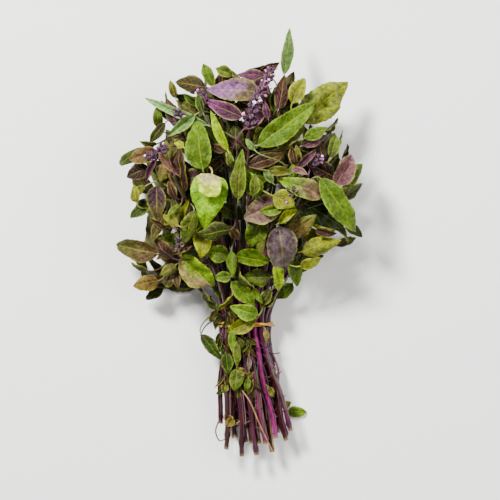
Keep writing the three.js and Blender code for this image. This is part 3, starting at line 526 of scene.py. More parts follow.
# The leaves that show in front: base and tip of the blade from above, width, layer, arch, fold, look
SHOWN_LEAVES = [
    (28, 175, 32, 208.5, 9, 1, 0.3, 0.4, "grey_green"),
    (38, 143, 73, 170.5, 25, 2, 0.5, 0.15, "mottled"),
    (10, 125, 50, 155.5, 18, 3, 0.7, 0.25, "fresh"),
    (11, 162, -26, 164, 17, 3, 0.8, 0.15, "lilac"),
    (14, 174, -5, 174.5, 8, 2, 0.5, 0.5, "purple"),
    (-1, 144.5, -28, 157, 11, 3, 0.7, 0.3, "magenta"),
    (-11, 121, -23, 149, 10, 4, 0.5, 0.9, "lime"),
    (-28.5, 108.5, -32.5, 142, 21, 4, 0.9, 0.35, "fresh"),
    (-25, 139, -69.5, 159, 9, 3, 0.9, 0.9, "silver"),
    (-27, 166, -48, 170, 13, 1, 0.5, 0.3, "olive_brown"),
    (-21, 166, -28.5, 182.5, 10, 2, 0.4, 0.7, "green"),
    (-52, 143, -58, 157, 8, 0, 0.4, 0.3, "dark_olive"),
    (-47, 140, -54, 158, 12, 2, 0.6, 0.3, "purple_brown"),
    (-34, 147, -47, 157, 9, 1, 0.5, 0.3, "olive"),
    (-34, 146, -53, 131.5, 11, 3, 0.5, 0.9, "grey_green"),
    (-55, 141, -66, 127, 8, 1, 0.6, 0.3, "dark_olive"),
    (-68, 123, -87, 112.5, 9, 0, 2.2, 0.5, "green"),
    (-60, 121, -80, 115.5, 13, 3, 0.8, 0.6, "tan_brown"),
    (-66, 110, -82, 103.5, 12, 1, 0.6, 0.3, "dark_purple"),
    (-61, 115.5, -68, 100, 8, 3, 0.6, 0.9, "purple"),
    (-58.5, 119, -44, 103, 9, 4, 0.6, 0.9, "dusty_pink"),
    (-55, 112, -58, 100, 12, 2, 0.5, 0.3, "olive_tan"),
    (-64, 87, -79.5, 75, 10, 1, 0.7, 0.3, "dark_green"),
    (-61, 97, -60, 72.5, 14, 2, 0.8, 0.3, "purple_heart"),
    (-43, 73, -38, 87.5, 9, 3, 0.5, 0.8, "yellow_olive"),
    (-42, 124, -48.5, 129, 6, 2, 0.4, 0.3, "pale_lime"),
    (-44, 112, -52, 117, 6, 1, 0.4, 0.3, "olive"),
    (-28, 103, -43, 102, 13, 2, 0.6, 0.3, "purple_heart"),
    (-41, 83, -46, 95, 7, 1, 0.4, 0.4, "dark_olive"),
    (-28, 66, -22, 105, 25, 3, 0.8, 0.2, "light_green"),
    (-22, 105, -25, 89.5, 18, 5, 0.7, 0.3, "pale_flap"),
    (-16, 84, 1, 74.5, 12, 2, 0.6, 0.3, "green"),
    (-4, 88, -1, 122.5, 13, 4, 0.6, 0.5, "olive_green"),
    (-5, 121, -6, 141, 13, 1, 0.5, 0.2, "dark_olive"),
    (7, 122, 1, 129.5, 5, 3, 0.4, 0.5, "grey_green"),
    (4, 111, 28, 119, 11, 2, 0.6, 0.3, "purple_brown"),
    (30, 123, 17, 120, 5, 2, 0.5, 0.5, "olive"),
    (-14, 117, -25, 107, 8, 1, 0.5, 0.3, "purple_brown"),
    (20, 99, 13.5, 109, 6, 2, 0.5, 0.4, "grey_green"),
    (54, 90, 23, 101.5, 15, 4, 0.8, 0.3, "half_tan"),
    (26, 84, 0, 75, 21, 3, 0.9, 0.35, "mauve"),
    (20, 90, 35, 83, 14, 4, 0.8, 0.4, "yellow_olive"),
    (27, 82, 11, 79, 9, 5, 0.7, 0.8, "fresh"),
    (12, 77, 4, 54.5, 16, 2, 0.8, 0.3, "green"),
    (24, 69, 27, 40, 25, 4, 1, 0.25, "grey_mauve"),
    (30, 62, 50.5, 77, 15, 3, 0.7, 0.3, "olive_tan"),
    (53, 102, 78, 65, 17, 3, 0.9, 0.3, "fresh"),
    (37, 88, 70, 68, 19, 1, 0.7, 0.3, "dark_green"),
    (70, 72, 83, 61.5, 8, 0, 0.5, 0.3, "dark_olive"),
    (63, 98, 75, 119, 17, 3, 0.8, 0.3, "pink_purple"),
    (68, 99, 83, 113, 14, 1, 0.6, 0.2, "olive_green"),
    (62, 104, 46, 112, 15, 2, 0.7, 0.3, "dark_purple"),
    (37, 109, 50, 122, 8, 3, 0.6, 0.8, "purple"),
    (25, 124, 42, 138, 10, 2, 0.6, 0.4, "olive"),
    (42, 130, 58, 138, 9, 3, 0.6, 0.4, "fresh"),
    (41, 125, 57, 132.5, 8, 2, 0.6, 0.5, "purple"),
    (60, 117, 64, 133, 9, 2, 0.6, 0.4, "olive_green"),
    (62, 118, 69, 137, 5, 1, 0.4, 0.9, "grey_green"),
    (24, 150, 28, 174.5, 11, 1, 0.6, 0.3, "purple_brown"),
    (21, 148, 21.5, 166, 7, 2, 0.5, 0.7, "dark_green"),
    (30, 150, 39, 168, 10, 0, 0.5, 0.3, "dark_olive"),
    (-60, 50, -90, 56.5, 17, 2, 0.8, 0.25, "olive_tan"),
    (-60, 31, -78, 27, 13, 2, 0.6, 0.3, "tan_gold"),
    (-57, 25, -69, 17.5, 8, 1, 1, 0.5, "black_green"),
    (-52, 30, -35, 27.5, 8, 0, 0.5, 0.4, "black_green"),
    (-44, 48.5, -21, 27.5, 20, 3, 0.8, 0.3, "lime_tan"),
    (-45, 60, -57, 61, 8, 2, 0.5, 0.4, "fresh"),
    (-49, 31, -58, 30, 9, 1, 0.5, 0.3, "olive_brown"),
    (-11, 49, -28, 52.5, 13, 2, 0.7, 0.3, "green"),
    (-6, 48, 17.5, 44, 15, 3, 0.7, 0.6, "fresh"),
    (19, 33.5, -1, 33.5, 14, 3, 0.8, 0.4, "olive_green"),
    (22, 43, 24, 24, 10, 3, 0.7, 0.5, "lime"),
    (-9, 34, -21, 33, 8, 2, 0.6, 0.4, "green"),
    (-14, 20, -22, 28, 8, 1, 0.6, 0.4, "dark_green"),
    (31, 51, 37, 27, 12, 2, 0.8, 0.4, "green"),
    (34, 29, 23.5, 18, 10, 2, 0.7, 0.3, "green"),
    (-4, 60, -11, 70, 7, 1, 0.5, 0.3, "purple_brown"),
    (9.5, 7, -10, 13, 12, 4, 0.7, 0.3, "fresh"),
    (8, 4, -12, -5, 12, 5, 0.9, 0.3, "yellow_olive"),
    (-30, -7, -15.5, -25, 9, 3, 0.6, 0.4, "dark_green"),
    (31, -62, 44.5, -62.5, 9, 3, 0.5, 0.3, "fresh"),
    (26, -58, 33.5, -55, 6, 5, 0.5, 0.3, "olive"),
]
# The colourings of the leaves between them, by part of the crown: its middle and its reach
CROWN_PARTS = [
    (-62, 118, 27, ["purple_brown", "dark_purple", "olive_tan", "olive", "purple"]),
    (-54, 42, 27, ["olive_brown", "purple_brown", "olive", "olive_tan", "purple_brown"]),
    (60, 112, 24, ["dark_purple", "pink_purple", "purple_brown", "olive", "dark_olive"]),
    (12, 162, 22, ["dark_purple", "purple_brown", "purple", "dark_purple"]),
    (-40, 160, 22, ["purple_brown", "olive", "dark_green", "olive_brown"]),
    (26, 112, 22, ["dark_purple", "olive", "purple_brown", "olive_green", "green"]),
    (0, 26, 28, ["olive_green", "green", "fresh", "dark_olive", "yellow_olive"]),
    (0, 90, 200, ["olive_green", "green", "olive_green", "dark_olive", "purple_brown", "yellow_olive"]),
]


def look_at(x, y, random):
    for middle_x, middle_y, reach, looks in CROWN_PARTS:
        if math.hypot(x - middle_x, y - middle_y) < reach:
            return pick(looks, random)


def dome_height(x, y):
    away = ((x - DOME.x) / DOME.rx) ** 2 + ((y - DOME.y) / DOME.ry) ** 2
    dome = DOME.foot + DOME.rise * math.sqrt(max(0, 1 - away))
    return min(dome, DOME.tie_z + DOME.slope * max(0, y))


def outward(x, z):
    way = np.array([(x - DOME.x) / DOME.rx, 0, (z - CROWN_MIDDLE_Z) / CROWN_HALF_DEPTH])
    return unit(way)


def outline(s):
    return np.sin(np.pi * np.clip(s, 1e-9, 1 - 1e-9) ** 0.72) ** 0.85


def turned(v, axis, angle):
    return (
        v * math.cos(angle)
        + np.cross(axis, v) * math.sin(angle)
        + axis * np.dot(axis, v) * (1 - math.cos(angle))
    )


def shown_leaf(row, number, height, roll):
    random = dice(SHOWN_SEED + number)
    bx, by, tx, ty, width, layer, arch, fold, look = row
    depth = (FRONT_LAYER - layer) * LAYER_DEPTH - height
    base = np.array([bx, by, max(2, dome_height(bx, by) - depth)], dtype=float)
    steepest = STEEPEST * math.hypot(tx - bx, ty - by)
    drop = min(max(dome_height(tx, ty) - depth - 2 - base[2], -steepest), steepest)
    tip = np.array([tx, ty, max(1, base[2] + drop)], dtype=float)
    face = np.array([0, 0, 1.0]) + TOWARDS_OUTSIDE * outward((bx + tx) / 2, base[2])
    face = turned(face, unit(tip - base), roll + 0.3 * (random() - 0.5))
    # Purple and brown leaves are wilted: more curled and creased
    wilt = LOOKS[look][4]
    return SimpleNamespace(
        base=base, tip=tip, face=face, width=width, arch=arch, fold=fold,
        wave=0.35 + 0.5 * random(), phase=random(), look=look, root=base, leave=np.zeros(3),
        seed=number, layer=layer, fine=1.0, curl=0.4 + 1.0 * wilt, crease=0.6 + 1.0 * wilt,
    )


def small_leaf(stem, node, which, attempt):
    random = dice(((stem.number * 16 + node) * 2 + which) * 8 + attempt + SMALL_SEED)
    y = between(stem.tip[1] - 1.5, LOWEST_NODE_Y, node / (NODES - 1))
    tangent = stem_tangent(stem, y)
    side = unit(np.cross([0, 0, 1], tangent))
    turn = stem.turn + node * (math.pi / 2) + which * math.pi + 0.9 * (random() - 0.5)
    out = side * math.cos(turn) + np.array([0, 0, 1]) * math.sin(turn)
    spread = between(0.45, 1.05, min(1, node / 3)) + 0.5 * (random() - 0.5)
    way = tangent * math.cos(spread) + out * math.sin(spread)
    size = between(0.55, 1, min(1, (node + 1) / 3)) * (0.75 + 0.4 * random())
    root = stem_point(stem, y)
    base = root + way * between(6, 12, random()) * size
    droop = unit(np.array([way[0], way[1], way[2] - 0.35 * random()]))
    seed = 1000 + (stem.number * 16 + node) * 2 + which
    return SimpleNamespace(
        root=root, base=base, tip=base + droop * SMALL_LENGTH * size, leave=np.zeros(3),
        face=outward(base[0], base[2]) + 0.5 * tangent,
        width=SMALL_WIDTH * size * (0.8 + 0.3 * random()),
        arch=0.5 + 0.7 * random(), fold=0.15 + 0.35 * random(),
        wave=0.3 + 0.5 * random(), phase=random(),
        seed=seed, layer=0, fine=0.8, curl=0.6, crease=0.7,
        look=look_at(base[0], base[1], dice(seed + LOOK_SEED)),
    )


def blade_axes(leaf):
    along = leaf.tip - leaf.base
    chord = np.linalg.norm(along)
    along = along / chord
    up = unit(leaf.face - along * np.dot(leaf.face, along))
    side = np.cross(along, up)
    return SimpleNamespace(
        along=along, up=up, side=side, radius=chord / (2 * math.sin(leaf.arch / 2))
    )


def blade_place(leaf, axes, s, raised, lateral):
    """Points at s along the blade's arc, raised over it and shifted sideways."""
    lean = leaf.arch * (0.5 - s)
    x = axes.radius * (math.sin(leaf.arch / 2) - np.sin(lean)) - raised * np.sin(lean)
    z = axes.radius * (np.cos(lean) - math.cos(leaf.arch / 2)) + raised * np.cos(lean)
    return (
        leaf.base
        + x[..., None] * axes.along
        + z[..., None] * axes.up
        + lateral[..., None] * axes.side
    )


def solid_corner(leaf, axes, s, across, lift):
    """The corner of the solid leaf at s, pressed onto the surface as the solid is."""
    half = leaf.width / 2 * float(outline(s)) if s < 1 else 0.0
    ripple = leaf.wave * math.sin(2 * math.pi * (2 * s + leaf.phase + 0.25 * across))
    edge = abs(across) * (half * math.sin(leaf.fold) + (ripple if s < 1 else 0)) + lift
    lateral = across * half * math.cos(leaf.fold)
    point = blade_place(leaf, axes, np.array(s), np.array(edge), np.array(lateral))
    high = (lift > 0) == (axes.up[2] > 0)
    point[2] = max(point[2], SOLID_BLADE if high else 0)
    return point


def petiole_path(leaf, axes, t):
    """Middle points of the petiole, from its root in the stem to the base of the blade."""
    t = np.atleast_1d(t)[:, None]
    way = leaf.base - leaf.root
    reach = np.linalg.norm(way)
    start = way + 0.5 * reach * leaf.leave
    end = (axes.along * math.cos(leaf.arch / 2) + axes.up * math.sin(leaf.arch / 2)) * reach
    return (
        leaf.root * (2 * t**3 - 3 * t**2 + 1)
        + start * (t**3 - 2 * t**2 + t)
        + leaf.base * (3 * t**2 - 2 * t**3)
        + end * (t**3 - t**2)
    )


corners, corner_stems = [], []
for stem in stems:
    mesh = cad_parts[stem.node].data
    flat_corners = np.empty(len(mesh.vertices) * 3, dtype=np.float32)
    mesh.vertices.foreach_get("co", flat_corners)
    for corner in flat_corners.reshape(-1, 3) / MM:
        corners.append(corner)
        corner_stems.append(stem)
corner_tree = KDTree(len(corners))
for i, corner in enumerate(corners):
    corner_tree.insert(corner, i)
corner_tree.balance()


def stem_at(point):
    """The stem whose solid has a corner at this point, if any."""
    _, index, distance = corner_tree.find(point)
    return corner_stems[index] if distance < MATCH else None


def solid_stem(leaf, stations):
    """The stem that the leaf's solid is part of, or None if it wasn't placed this way."""
    axes = blade_axes(leaf)
    hits = [stem_at(solid_corner(leaf, axes, 1, 0, lift * SOLID_BLADE / 2)) for lift in (1, -1)]
    hits += [
        stem_at(solid_corner(leaf, axes, s, across, SOLID_BLADE / 2))
        for s in stations for across in (-1, 1)
    ]
    hits = [hit for hit in hits if hit is not None]
    return hits[0] if len(hits) >= 3 else None


def find_root(leaf, stem, number):
    """Puts the root of a shown leaf where its petiole leaves the stem in the frame."""
    axes = blade_axes(leaf)
    heights = np.arange(stem.cut[1] + ANCHOR_STEP, stem.tip[1] - 1, ANCHOR_STEP)
    if number in OWN_ROOTS:
        heights = [OWN_ROOTS[number]]
    best, least = heights[0], math.inf
    for y in heights:
        leaf.root = stem_point(stem, y)
        leaf.leave = stem_tangent(stem, y)
        reach = np.linalg.norm(leaf.base - leaf.root)
        if not 1 < reach < 60:
            continue
        near = petiole_path(leaf, axes, np.array([0.5, 0.505]))
        way = unit(near[1] - near[0])
        side = unit(np.cross(way, axes.up))
        under = near[0] - np.cross(side, way) * (ROOT_RADIUS + PETIOLE_RADIUS) / 2
        _, _, distance = corner_tree.find(under)
        # A stem point that explains no corner counts by its reach alone
        miss = distance if distance < 0.1 else 1 + reach
        if miss < least:
            best, least = y, miss
    leaf.root = stem_point(stem, best)
    leaf.leave = stem_tangent(stem, best)


def blade_surface(leaf, axes, s, across, lift):
    """Points of the fine blade: folded and curled like its solid, puffed between its side veins,
    creased, and frilled along its toothed edge."""
    random = dice(leaf.seed + SHAPE_SEED)
    spread = outline(s)
    if leaf.seed == SHIELD_LEAF:
        spread = np.sin(np.pi * np.clip(1 - s, 1e-9, 1 - 1e-9) ** 0.45) ** 0.85
    if leaf.seed == FLAP_LEAF:
        spread = spread**0.4
    half = np.maximum(leaf.width / 2 * spread, np.where(s < 0.5, 0.4, 0.14))
    teeth = (s * TOOTH_PAIRS) % 1
    half = half * (1 + TOOTH_DEPTH * np.abs(across) ** 3 * (0.4 - teeth) * np.sin(np.pi * s))
    # No two halves are quite alike
    lobes = 6 * random() + 2.5 * random() * np.sign(across)
    half = half * (1 + UNLIKE * np.sin(5.5 * s + lobes) * np.sin(np.pi * s))
    reach = np.abs(across)
    size = min(1, leaf.width / FULL_WIDTH)
    fade = np.sin(np.pi * np.clip(s, 0, 1)) ** 0.5
    curl = leaf.curl * (2 * random() - 1.4) + 1e-3
    out = half * np.sin(curl * reach) / curl
    over = half * (1 - np.cos(curl * reach)) / curl
    lateral = out * math.cos(leaf.fold) - over * math.sin(leaf.fold)
    raised = out * math.sin(leaf.fold) + over * math.cos(leaf.fold)
    ripple = leaf.wave * np.sin(2 * np.pi * (2 * s + leaf.phase + 0.25 * across))
    frill = FRILL * size * np.sin(2 * np.pi * (5 * s + 3 * leaf.phase + 0.4 * np.sign(across)))
    vein = s * VEIN_PAIRS - reach * VEIN_SLANT
    puff = np.abs(np.sin(np.pi * vein)) ** 0.7 * np.sin(np.pi * np.clip(reach, 0, 1)) ** 0.8
    raised = raised + (ripple * reach**2 + frill * reach**3) * fade + PUFF * size * puff * fade
    raised = raised - FURROW_DEPTH * np.exp(-((reach / FURROW_SHARE) ** 2)) * size
    length = axes.radius * leaf.arch
    for _ in range(CREASES):
        angle, spacing = math.pi * random(), between(*CREASE_SPACING, random())
        turn = 2 * math.pi * random()
        run = s * length * math.cos(angle) + across * half * math.sin(angle)
        wave = np.sin(2 * np.pi * run / spacing + turn)
        raised = raised + leaf.crease * size * CREASE_HEIGHT * wave * fade
    points = blade_place(leaf, axes, s, raised + lift, np.sign(across) * lateral)
    high = (lift > 0) == (axes.up[2] > 0)
    points[..., 2] = np.maximum(points[..., 2], BLADE_THICKNESS + 0.1 if high else 0.1)
    return points


def leaf_colours(leaf, s, across):
    """Linear tint of each point of the blade, with painted shade deep in the crown and a painted
    highlight on its very edge, and with its purple flush as the fourth value.
    """
    lower, upper, margin, _, flush, cross = LOOKS[leaf.look]
    random = dice(leaf.seed + TINT_SEED)
    # Painted shade: leaves that lie deep under the dome of the crown are painted darker
    middle = (leaf.base + leaf.tip) / 2
    depth = max(0, dome_height(middle[0], middle[1]) - middle[2] - SHADE_START_DEPTH)
    shade = (0.8 + 0.4 * random()) * max(DEEPEST_PAINTED_SHADE, 1 - depth / SHADE_FADE_DEPTH)
    path = s * (1 - cross) + (across + 1) / 2 * cross
    wobble = 0.12 * np.sin(7 * s + 6 * random()) * np.sin(4 * across + 6 * random())
    blend = np.clip((path + wobble - 0.3 + 0.25 * (random() - 0.5)) / 0.4, 0, 1)[..., None]
    colour = between(linear(lower), linear(upper), blend)
    colour = between(colour, linear(margin), MARGIN_SHARE * (np.abs(across) ** 5)[..., None])
    # A painted highlight lightens the very edge, the painted shade darkens the blade, and the halves
    # differ a little
    rim = (np.abs(across) > 0.97)[..., None]
    colour = between(colour, linear(RIM_HIGHLIGHT), RIM_HIGHLIGHT_SHARE * rim)
    colour = colour * shade * (1 + 0.12 * np.sign(across) * (random() - 0.5))[..., None]
    # The purple flush is strongest by the midrib and towards the base
    flush = np.clip(flush * (1.7 - 1.2 * s - 0.5 * np.abs(across) + 0.6 * (random() - 0.5)), 0, 1)
    return np.concatenate([colour, flush[..., None]], axis=-1)


def add_leaf(pieces, leaf):
    axes = blade_axes(leaf)
    random = dice(leaf.seed + RIB_SEED)
    length = axes.radius * leaf.arch
    columns = 2 * max(3, int(round(leaf.width * 0.34 * leaf.fine))) + 1
    rows = max(12, int(round(length * 0.66 * leaf.fine)))
    s, across = np.meshgrid(np.linspace(0, 1, rows), np.linspace(-1, 1, columns), indexing="ij")
    thick = BLADE_THICKNESS / 2
    top = blade_surface(leaf, axes, s, across, thick)
    low = blade_surface(leaf, axes, s, across, -thick)
    points = np.concatenate([top.reshape(-1, 3), low.reshape(-1, 3)])
    other = rows * columns
    grid = np.arange(other).reshape(rows, columns)
    a, b, c, d = grid[:-1, :-1], grid[:-1, 1:], grid[1:, 1:], grid[1:, :-1]
    over = np.stack([a, b, c, d], axis=-1).reshape(-1, 4)[:, ::-1]
    under = over[:, ::-1] + other
    border = np.concatenate([grid[0, :], grid[1:, -1], grid[-1, -2::-1], grid[-2:0:-1, 0]])
    following = np.roll(border, -1)
    rim = np.stack([border, following, following + other, border + other], axis=-1)
    faces = np.concatenate([over, under, rim])
    skins = np.concatenate([np.full(len(over), 1), np.full(len(under) + len(rim), 2)])
    spots = np.stack([(across + 1) / 2, s], axis=-1).reshape(-1, 2)
    tints = leaf_colours(leaf, s, across).reshape(-1, 4)
    pieces.add(points, faces, skins, np.tile(spots, (2, 1)), np.tile(tints, (2, 1)))
    # The petiole goes on as the midrib under the blade
    size = min(1, leaf.width / FULL_WIDTH)
    count = PETIOLE_RINGS
    stalk = petiole_path(leaf, axes, np.linspace(0, 1, count))
    rib = blade_surface(leaf, axes, np.linspace(0.06, 0.9, count), np.zeros(count), -thick - 0.1)
    middles = np.concatenate([stalk, rib])
    middles[:, 2] = np.maximum(middles[:, 2], 0.55)
    radii = PETIOLE_RADIUS * (0.6 + 0.3 * size) * np.concatenate([
        np.linspace(1.1, 0.85, count), np.linspace(0.6, 0.15, count)
    ])
    root_tint = linear(PETIOLE_TINTS[0 if random() < 0.6 else 1])
    mix = np.clip(np.linspace(0, 2, 2 * count) - 0.3, 0, 1)[:, None]
    colours = between(root_tint, linear(LOOKS[leaf.look][3], 0.75), mix)
    tints = np.concatenate([colours, np.ones((2 * count, 1))], axis=1)
    add_tube(pieces, 3, middles, radii, 6, tints, reference=axes.side)


for number, row in enumerate(SHOWN_LEAVES):
    stations = (0.16, 0.44, 0.76) if row[4] < NARROW else (0.13, 0.34, 0.58, 0.8)
    for roll, height in [(roll, height) for roll in ROLL_TRIES for height in HEIGHT_TRIES]:
        leaf = shown_leaf(row, number, height, roll)
        stem = solid_stem(leaf, stations)
        if stem is not None:
            find_root(leaf, stem, number)
            stem.leaves.append(leaf)
            break
for node in range(NODES):
    for stem in stems:
        for which in (0, 1):
            for attempt in range(SLOT_TRIES):
                leaf = small_leaf(stem, node, which, attempt)
                if solid_stem(leaf, (0.16, 0.42, 0.74)) is stem:
                    stem.leaves.append(leaf)
                    break


# Colours laid over each leaf's own: the purple flush, the veins and the underside
FLUSH = "#300917"
VEIN = "#b6c42f"
UNDERSIDE = "#6c7345"


def leaf_blade_material(name, under):
    """Basil blade: waxy and puckered, with a midrib, side veins and a fine net between them.
    Above, the veins lie in furrows; below, they stand out and the skin is paler and duller."""
    material, tree, shader = new_material(
        name, Roughness=0.6 if under else 0.48, IOR=1.43, Specular_IOR_Level=0.14
    )
    tint = add_node(tree, "VertexColor", layer_name="tint")
    spot = add_node(tree, "SeparateXYZ", [add_node(tree, "UVMap", uv_map="leaf")])
    where = add_node(tree, "TexCoord", out="Object")
    # Distance from the midrib, 0 there and 1 at the edge
    centred = add_node(tree, "Math", (spot, 2.0, -1.0), operation="MULTIPLY_ADD")
    across = add_node(tree, "Math", [centred], operation="ABSOLUTE")
    # Side veins run out and forward from the midrib, wandering by about a millimetre
    wander = add_node(tree, "TexNoise", {"Vector": where, "Scale": 130.0, "Detail": 1.0})
    shift = add_node(tree, "Math", (wander, 0.9, -0.45), operation="MULTIPLY_ADD")
    slant = add_node(tree, "Math", (across, -VEIN_SLANT, shift), operation="MULTIPLY_ADD")
    along = spot.node.outputs["Y"]
    phase = add_node(tree, "Math", (along, VEIN_PAIRS, slant), operation="MULTIPLY_ADD")
    from_vein = add_node(tree, "Math", (phase, 0.5), operation="PINGPONG")
    side_vein = add_node(tree, "MapRange", (from_vein, 0.01, 0.1, 0.55, 0.0))
    midrib = add_node(tree, "MapRange", (across, 0.02, 0.09, 1.0, 0.0))
    veins = add_node(tree, "Math", (side_vein, midrib), operation="MAXIMUM")
    # The net of small veins, cells of 2 mm, about twice the real ones so that they show
    net = add_node(
        tree, "TexVoronoi", {"Vector": where, "Scale": 500.0}, "Distance", feature="DISTANCE_TO_EDGE"
    )
    cell = add_node(tree, "MapRange", (net, 0.0, 0.25, 0.0, 1.0))
    # Purple flush in clouds of about 4 mm
    clouds = add_node(tree, "TexNoise", {"Vector": where, "Scale": 240.0, "Detail": 5.0})
    cloud = add_node(tree, "MapRange", (clouds, 0.44, 0.6, 0.0, 1.0))
    flush = add_node(tree, "Math", (cloud, tint.node.outputs["Alpha"]), operation="MULTIPLY")
    colour = add_node(tree, "Mix", {0: flush, 6: tint, 7: rgba(FLUSH)}, 2, data_type="RGBA")
    # Brightness wanders by half, up and down, in patches of 2.5 mm, and is less over the net
    patches = add_node(tree, "TexNoise", {"Vector": where, "Scale": 400.0, "Detail": 4.0})
    level = add_node(tree, "MapRange", (patches, 0.3, 0.7, 0.5, 1.5))
    cell_level = add_node(tree, "Math", (cell, 0.16, 0.88), operation="MULTIPLY_ADD")
    both = add_node(tree, "Math", (level, cell_level), operation="MULTIPLY")
    colour = add_node(tree, "VectorMath", {0: colour, "Scale": both}, operation="SCALE")
    # Veins are a paler yellow green than the blade round them, and the underside is paler still
    share = add_node(tree, "Math", (veins, 0.16), operation="MULTIPLY")
    colour = add_node(tree, "Mix", {0: share, 6: colour, 7: rgba(VEIN)}, 2, data_type="RGBA")
    if under:
        colour = add_node(tree, "Mix", {0: 0.25, 6: colour, 7: rgba(UNDERSIDE)}, 2, data_type="RGBA")
    tree.links.new(colour, shader.inputs["Base Color"])
    raise_veins = 1.0 if under else -1.0
    relief = add_node(tree, "Math", (veins, raise_veins, cell), operation="MULTIPLY_ADD")
    bump = add_node(tree, "Bump", {"Height": relief, "Strength": 0.6, "Distance": 0.4 * MM})
    tree.links.new(bump, shader.inputs["Normal"])
    return material


def petiole_material():
    """Petiole and midrib: a soft juicy rib, pale green to purple, smooth with a dull shine."""
    material, tree, shader = new_material("basil_petiole_rib", Roughness=0.45, IOR=1.42)
    where = add_node(tree, "TexCoord", out="Object")
    # Blotches 2 mm across
    blotch = add_node(tree, "TexNoise", {"Vector": where, "Scale": 500.0, "Detail": 2.0})
    mottle(tree, shader, blotch, (0.3, 0.7), (0.7, 1.3))
    return material


blade_upper = leaf_blade_material("basil_blade_upper", False)
blade_under = leaf_blade_material("basil_blade_under", True)
petiole_rib = petiole_material()

# Leaves between the large ones
# The crown is dense: smaller and darker leaves, wilted and folded, fill its gaps, and painted
# shade darkens those that lie deep in it. Each grows on a petiole from the nearest stem that it
# can reach past its neighbours.

# The outline of the crown from above
CROWN_OUTLINE = np.array([
    [18, 4], [36, 20], [46, 32], [58, 50], [80, 58], [82, 76], [84, 112], [72, 128], [66, 142],
    [70, 166], [46, 168], [34, 184], [22, 184], [0, 182], [-28, 182], [-50, 172], [-64, 158],
    [-66, 138], [-86, 122], [-80, 100], [-80, 76], [-64, 66], [-84, 56], [-74, 26], [-50, 24],
    [-36, 22], [-18, 4],
])
# A block of millimetre cells round the bunch, in which the room that leaves take is marked
ROOM_LOW = np.array([-110, -110, -6])
ROOM_SIZE = (220, 340, 110)
SAMPLE_STEP = 0.8
FILL_SEED = 7000
ROUND_SEED = 20000
# Rounds of leaves: tries, smallest gap under the dome, length of the blade, and where they go
FILL_ROUNDS = [
    (9000, 8, (20, 38), (-86, 86), (6, 184)),
    (3000, 4, (14, 26), (-34, 38), (10, 80)),
    (14000, 4.5, (12, 22), (-86, 86), (6, 184)),
]
# Shares of a blade that may touch others or hide the leaves in front, and of a petiole that may touch
TOUCHING = 0.1
HIDING = 0.12
PETIOLE_TOUCHING = 0.35
# Width as a share of the length, and the bend along and across the blade
FILL_WIDTH = (0.45, 0.7)
FILL_ARCH = (0.4, 1.3)
FILL_FOLD = (0.1, 0.8)
# How far leaves start under the dome and may rise over it, in the lower crown and above it
LOWER_CROWN_Y = 80
UNDER_DOME = (0, 3)
OVER_DOME = (5, 1)
FILL_REACH = (3, 38)
BLADE_FOOT = 0.06
LOWEST_BLADE = 1.2

room = np.zeros(ROOM_SIZE, dtype=bool)
tops = np.full(ROOM_SIZE[:2], -9.0)
shown = np.zeros(ROOM_SIZE[:2], dtype=bool)


def inside_outline(points):
    x, y = points[..., 0], points[..., 1]
    inside = np.zeros(x.shape, dtype=bool)
    for (ax, ay), (bx, by) in zip(CROWN_OUTLINE, np.roll(CROWN_OUTLINE, -1, axis=0)):
        if ay != by:
            inside ^= ((ay > y) != (by > y)) & (x < ax + (bx - ax) * (y - ay) / (by - ay))
    return inside


def room_cells(points):
    return (points.reshape(-1, 3) - ROOM_LOW).astype(int)


def take_room(points):
    """Marks the millimetre cells at and next to these points as filled."""
    cells = room_cells(points)
    for step in np.ndindex(3, 3, 3):
        room[tuple((cells + step - 1).T)] = True
    np.maximum.at(tops, (cells[:, 0], cells[:, 1]), points.reshape(-1, 3)[:, 2])


def is_free(points, touching=0.0):
    return room[tuple(room_cells(points).T)].mean() <= touching


def hides_shown(points):
    """Whether these points lie over more than a few cells of the leaves that show in front."""
    cells = room_cells(points)
    over = shown[cells[:, 0], cells[:, 1]] & (
        points.reshape(-1, 3)[:, 2] > tops[cells[:, 0], cells[:, 1]] - 3
    )
    return over.mean() > HIDING


def blade_sample(leaf, step, first=0.0):
    axes = blade_axes(leaf)
    rows = max(5, int(axes.radius * leaf.arch / step))
    columns = max(3, int(leaf.width / step))
    s, across = np.meshgrid(
        np.linspace(first, 1, rows), np.linspace(-1, 1, columns), indexing="ij"
    )
    return blade_surface(leaf, axes, s, across, 0)


root_points, root_stems = [], []
for stem in stems:
    for y in np.arange(stem.cut[1], stem.tip[1]):
        for angle in np.linspace(0, 2 * math.pi, 8, endpoint=False):
            around = np.array([[math.cos(angle), 0, math.sin(angle)]])
            take_room(stem_point(stem, y) + stem_radius(stem, y) * around)
    for leaf in stem.leaves:
        surface = blade_sample(leaf, SAMPLE_STEP)
        take_room(surface)
        if leaf.layer > 0:
            cells = room_cells(surface)
            shown[cells[:, 0], cells[:, 1]] = True
    for y in np.arange(STRAIGHT + 4, stem.tip[1] - 1, 3):
        root_points.append(stem_point(stem, y))
        root_stems.append((stem, y))
root_points = np.array(root_points)


def grow_from_nearest(leaf, tries=8):
    """Roots the leaf on a stem that its petiole reaches freely. None if there is no such stem."""
    axes = blade_axes(leaf)
    start = axes.along * math.cos(leaf.arch / 2) + axes.up * math.sin(leaf.arch / 2)
    way = leaf.base - root_points
    reach = np.linalg.norm(way, axis=1)
    cost = reach * (1.5 - way @ start / reach) + np.maximum(0, -way[:, 2])
    cost[(reach < FILL_REACH[0]) | (reach > FILL_REACH[1])] = np.inf
    for index in np.argsort(cost)[:tries]:
        if not np.isfinite(cost[index]):
            break
        stem, y = root_stems[index]
        leaf.root = root_points[index]
        leaf.leave = 0.6 * stem_tangent(stem, y)
        path = petiole_path(leaf, axes, np.linspace(0, 1, 14))
        past_stem = np.linalg.norm(path - leaf.root, axis=1) > 4
        if path[:, 2].min() > 1 and is_free(path[past_stem], PETIOLE_TOUCHING):
            take_room(path)
            return stem
    return None


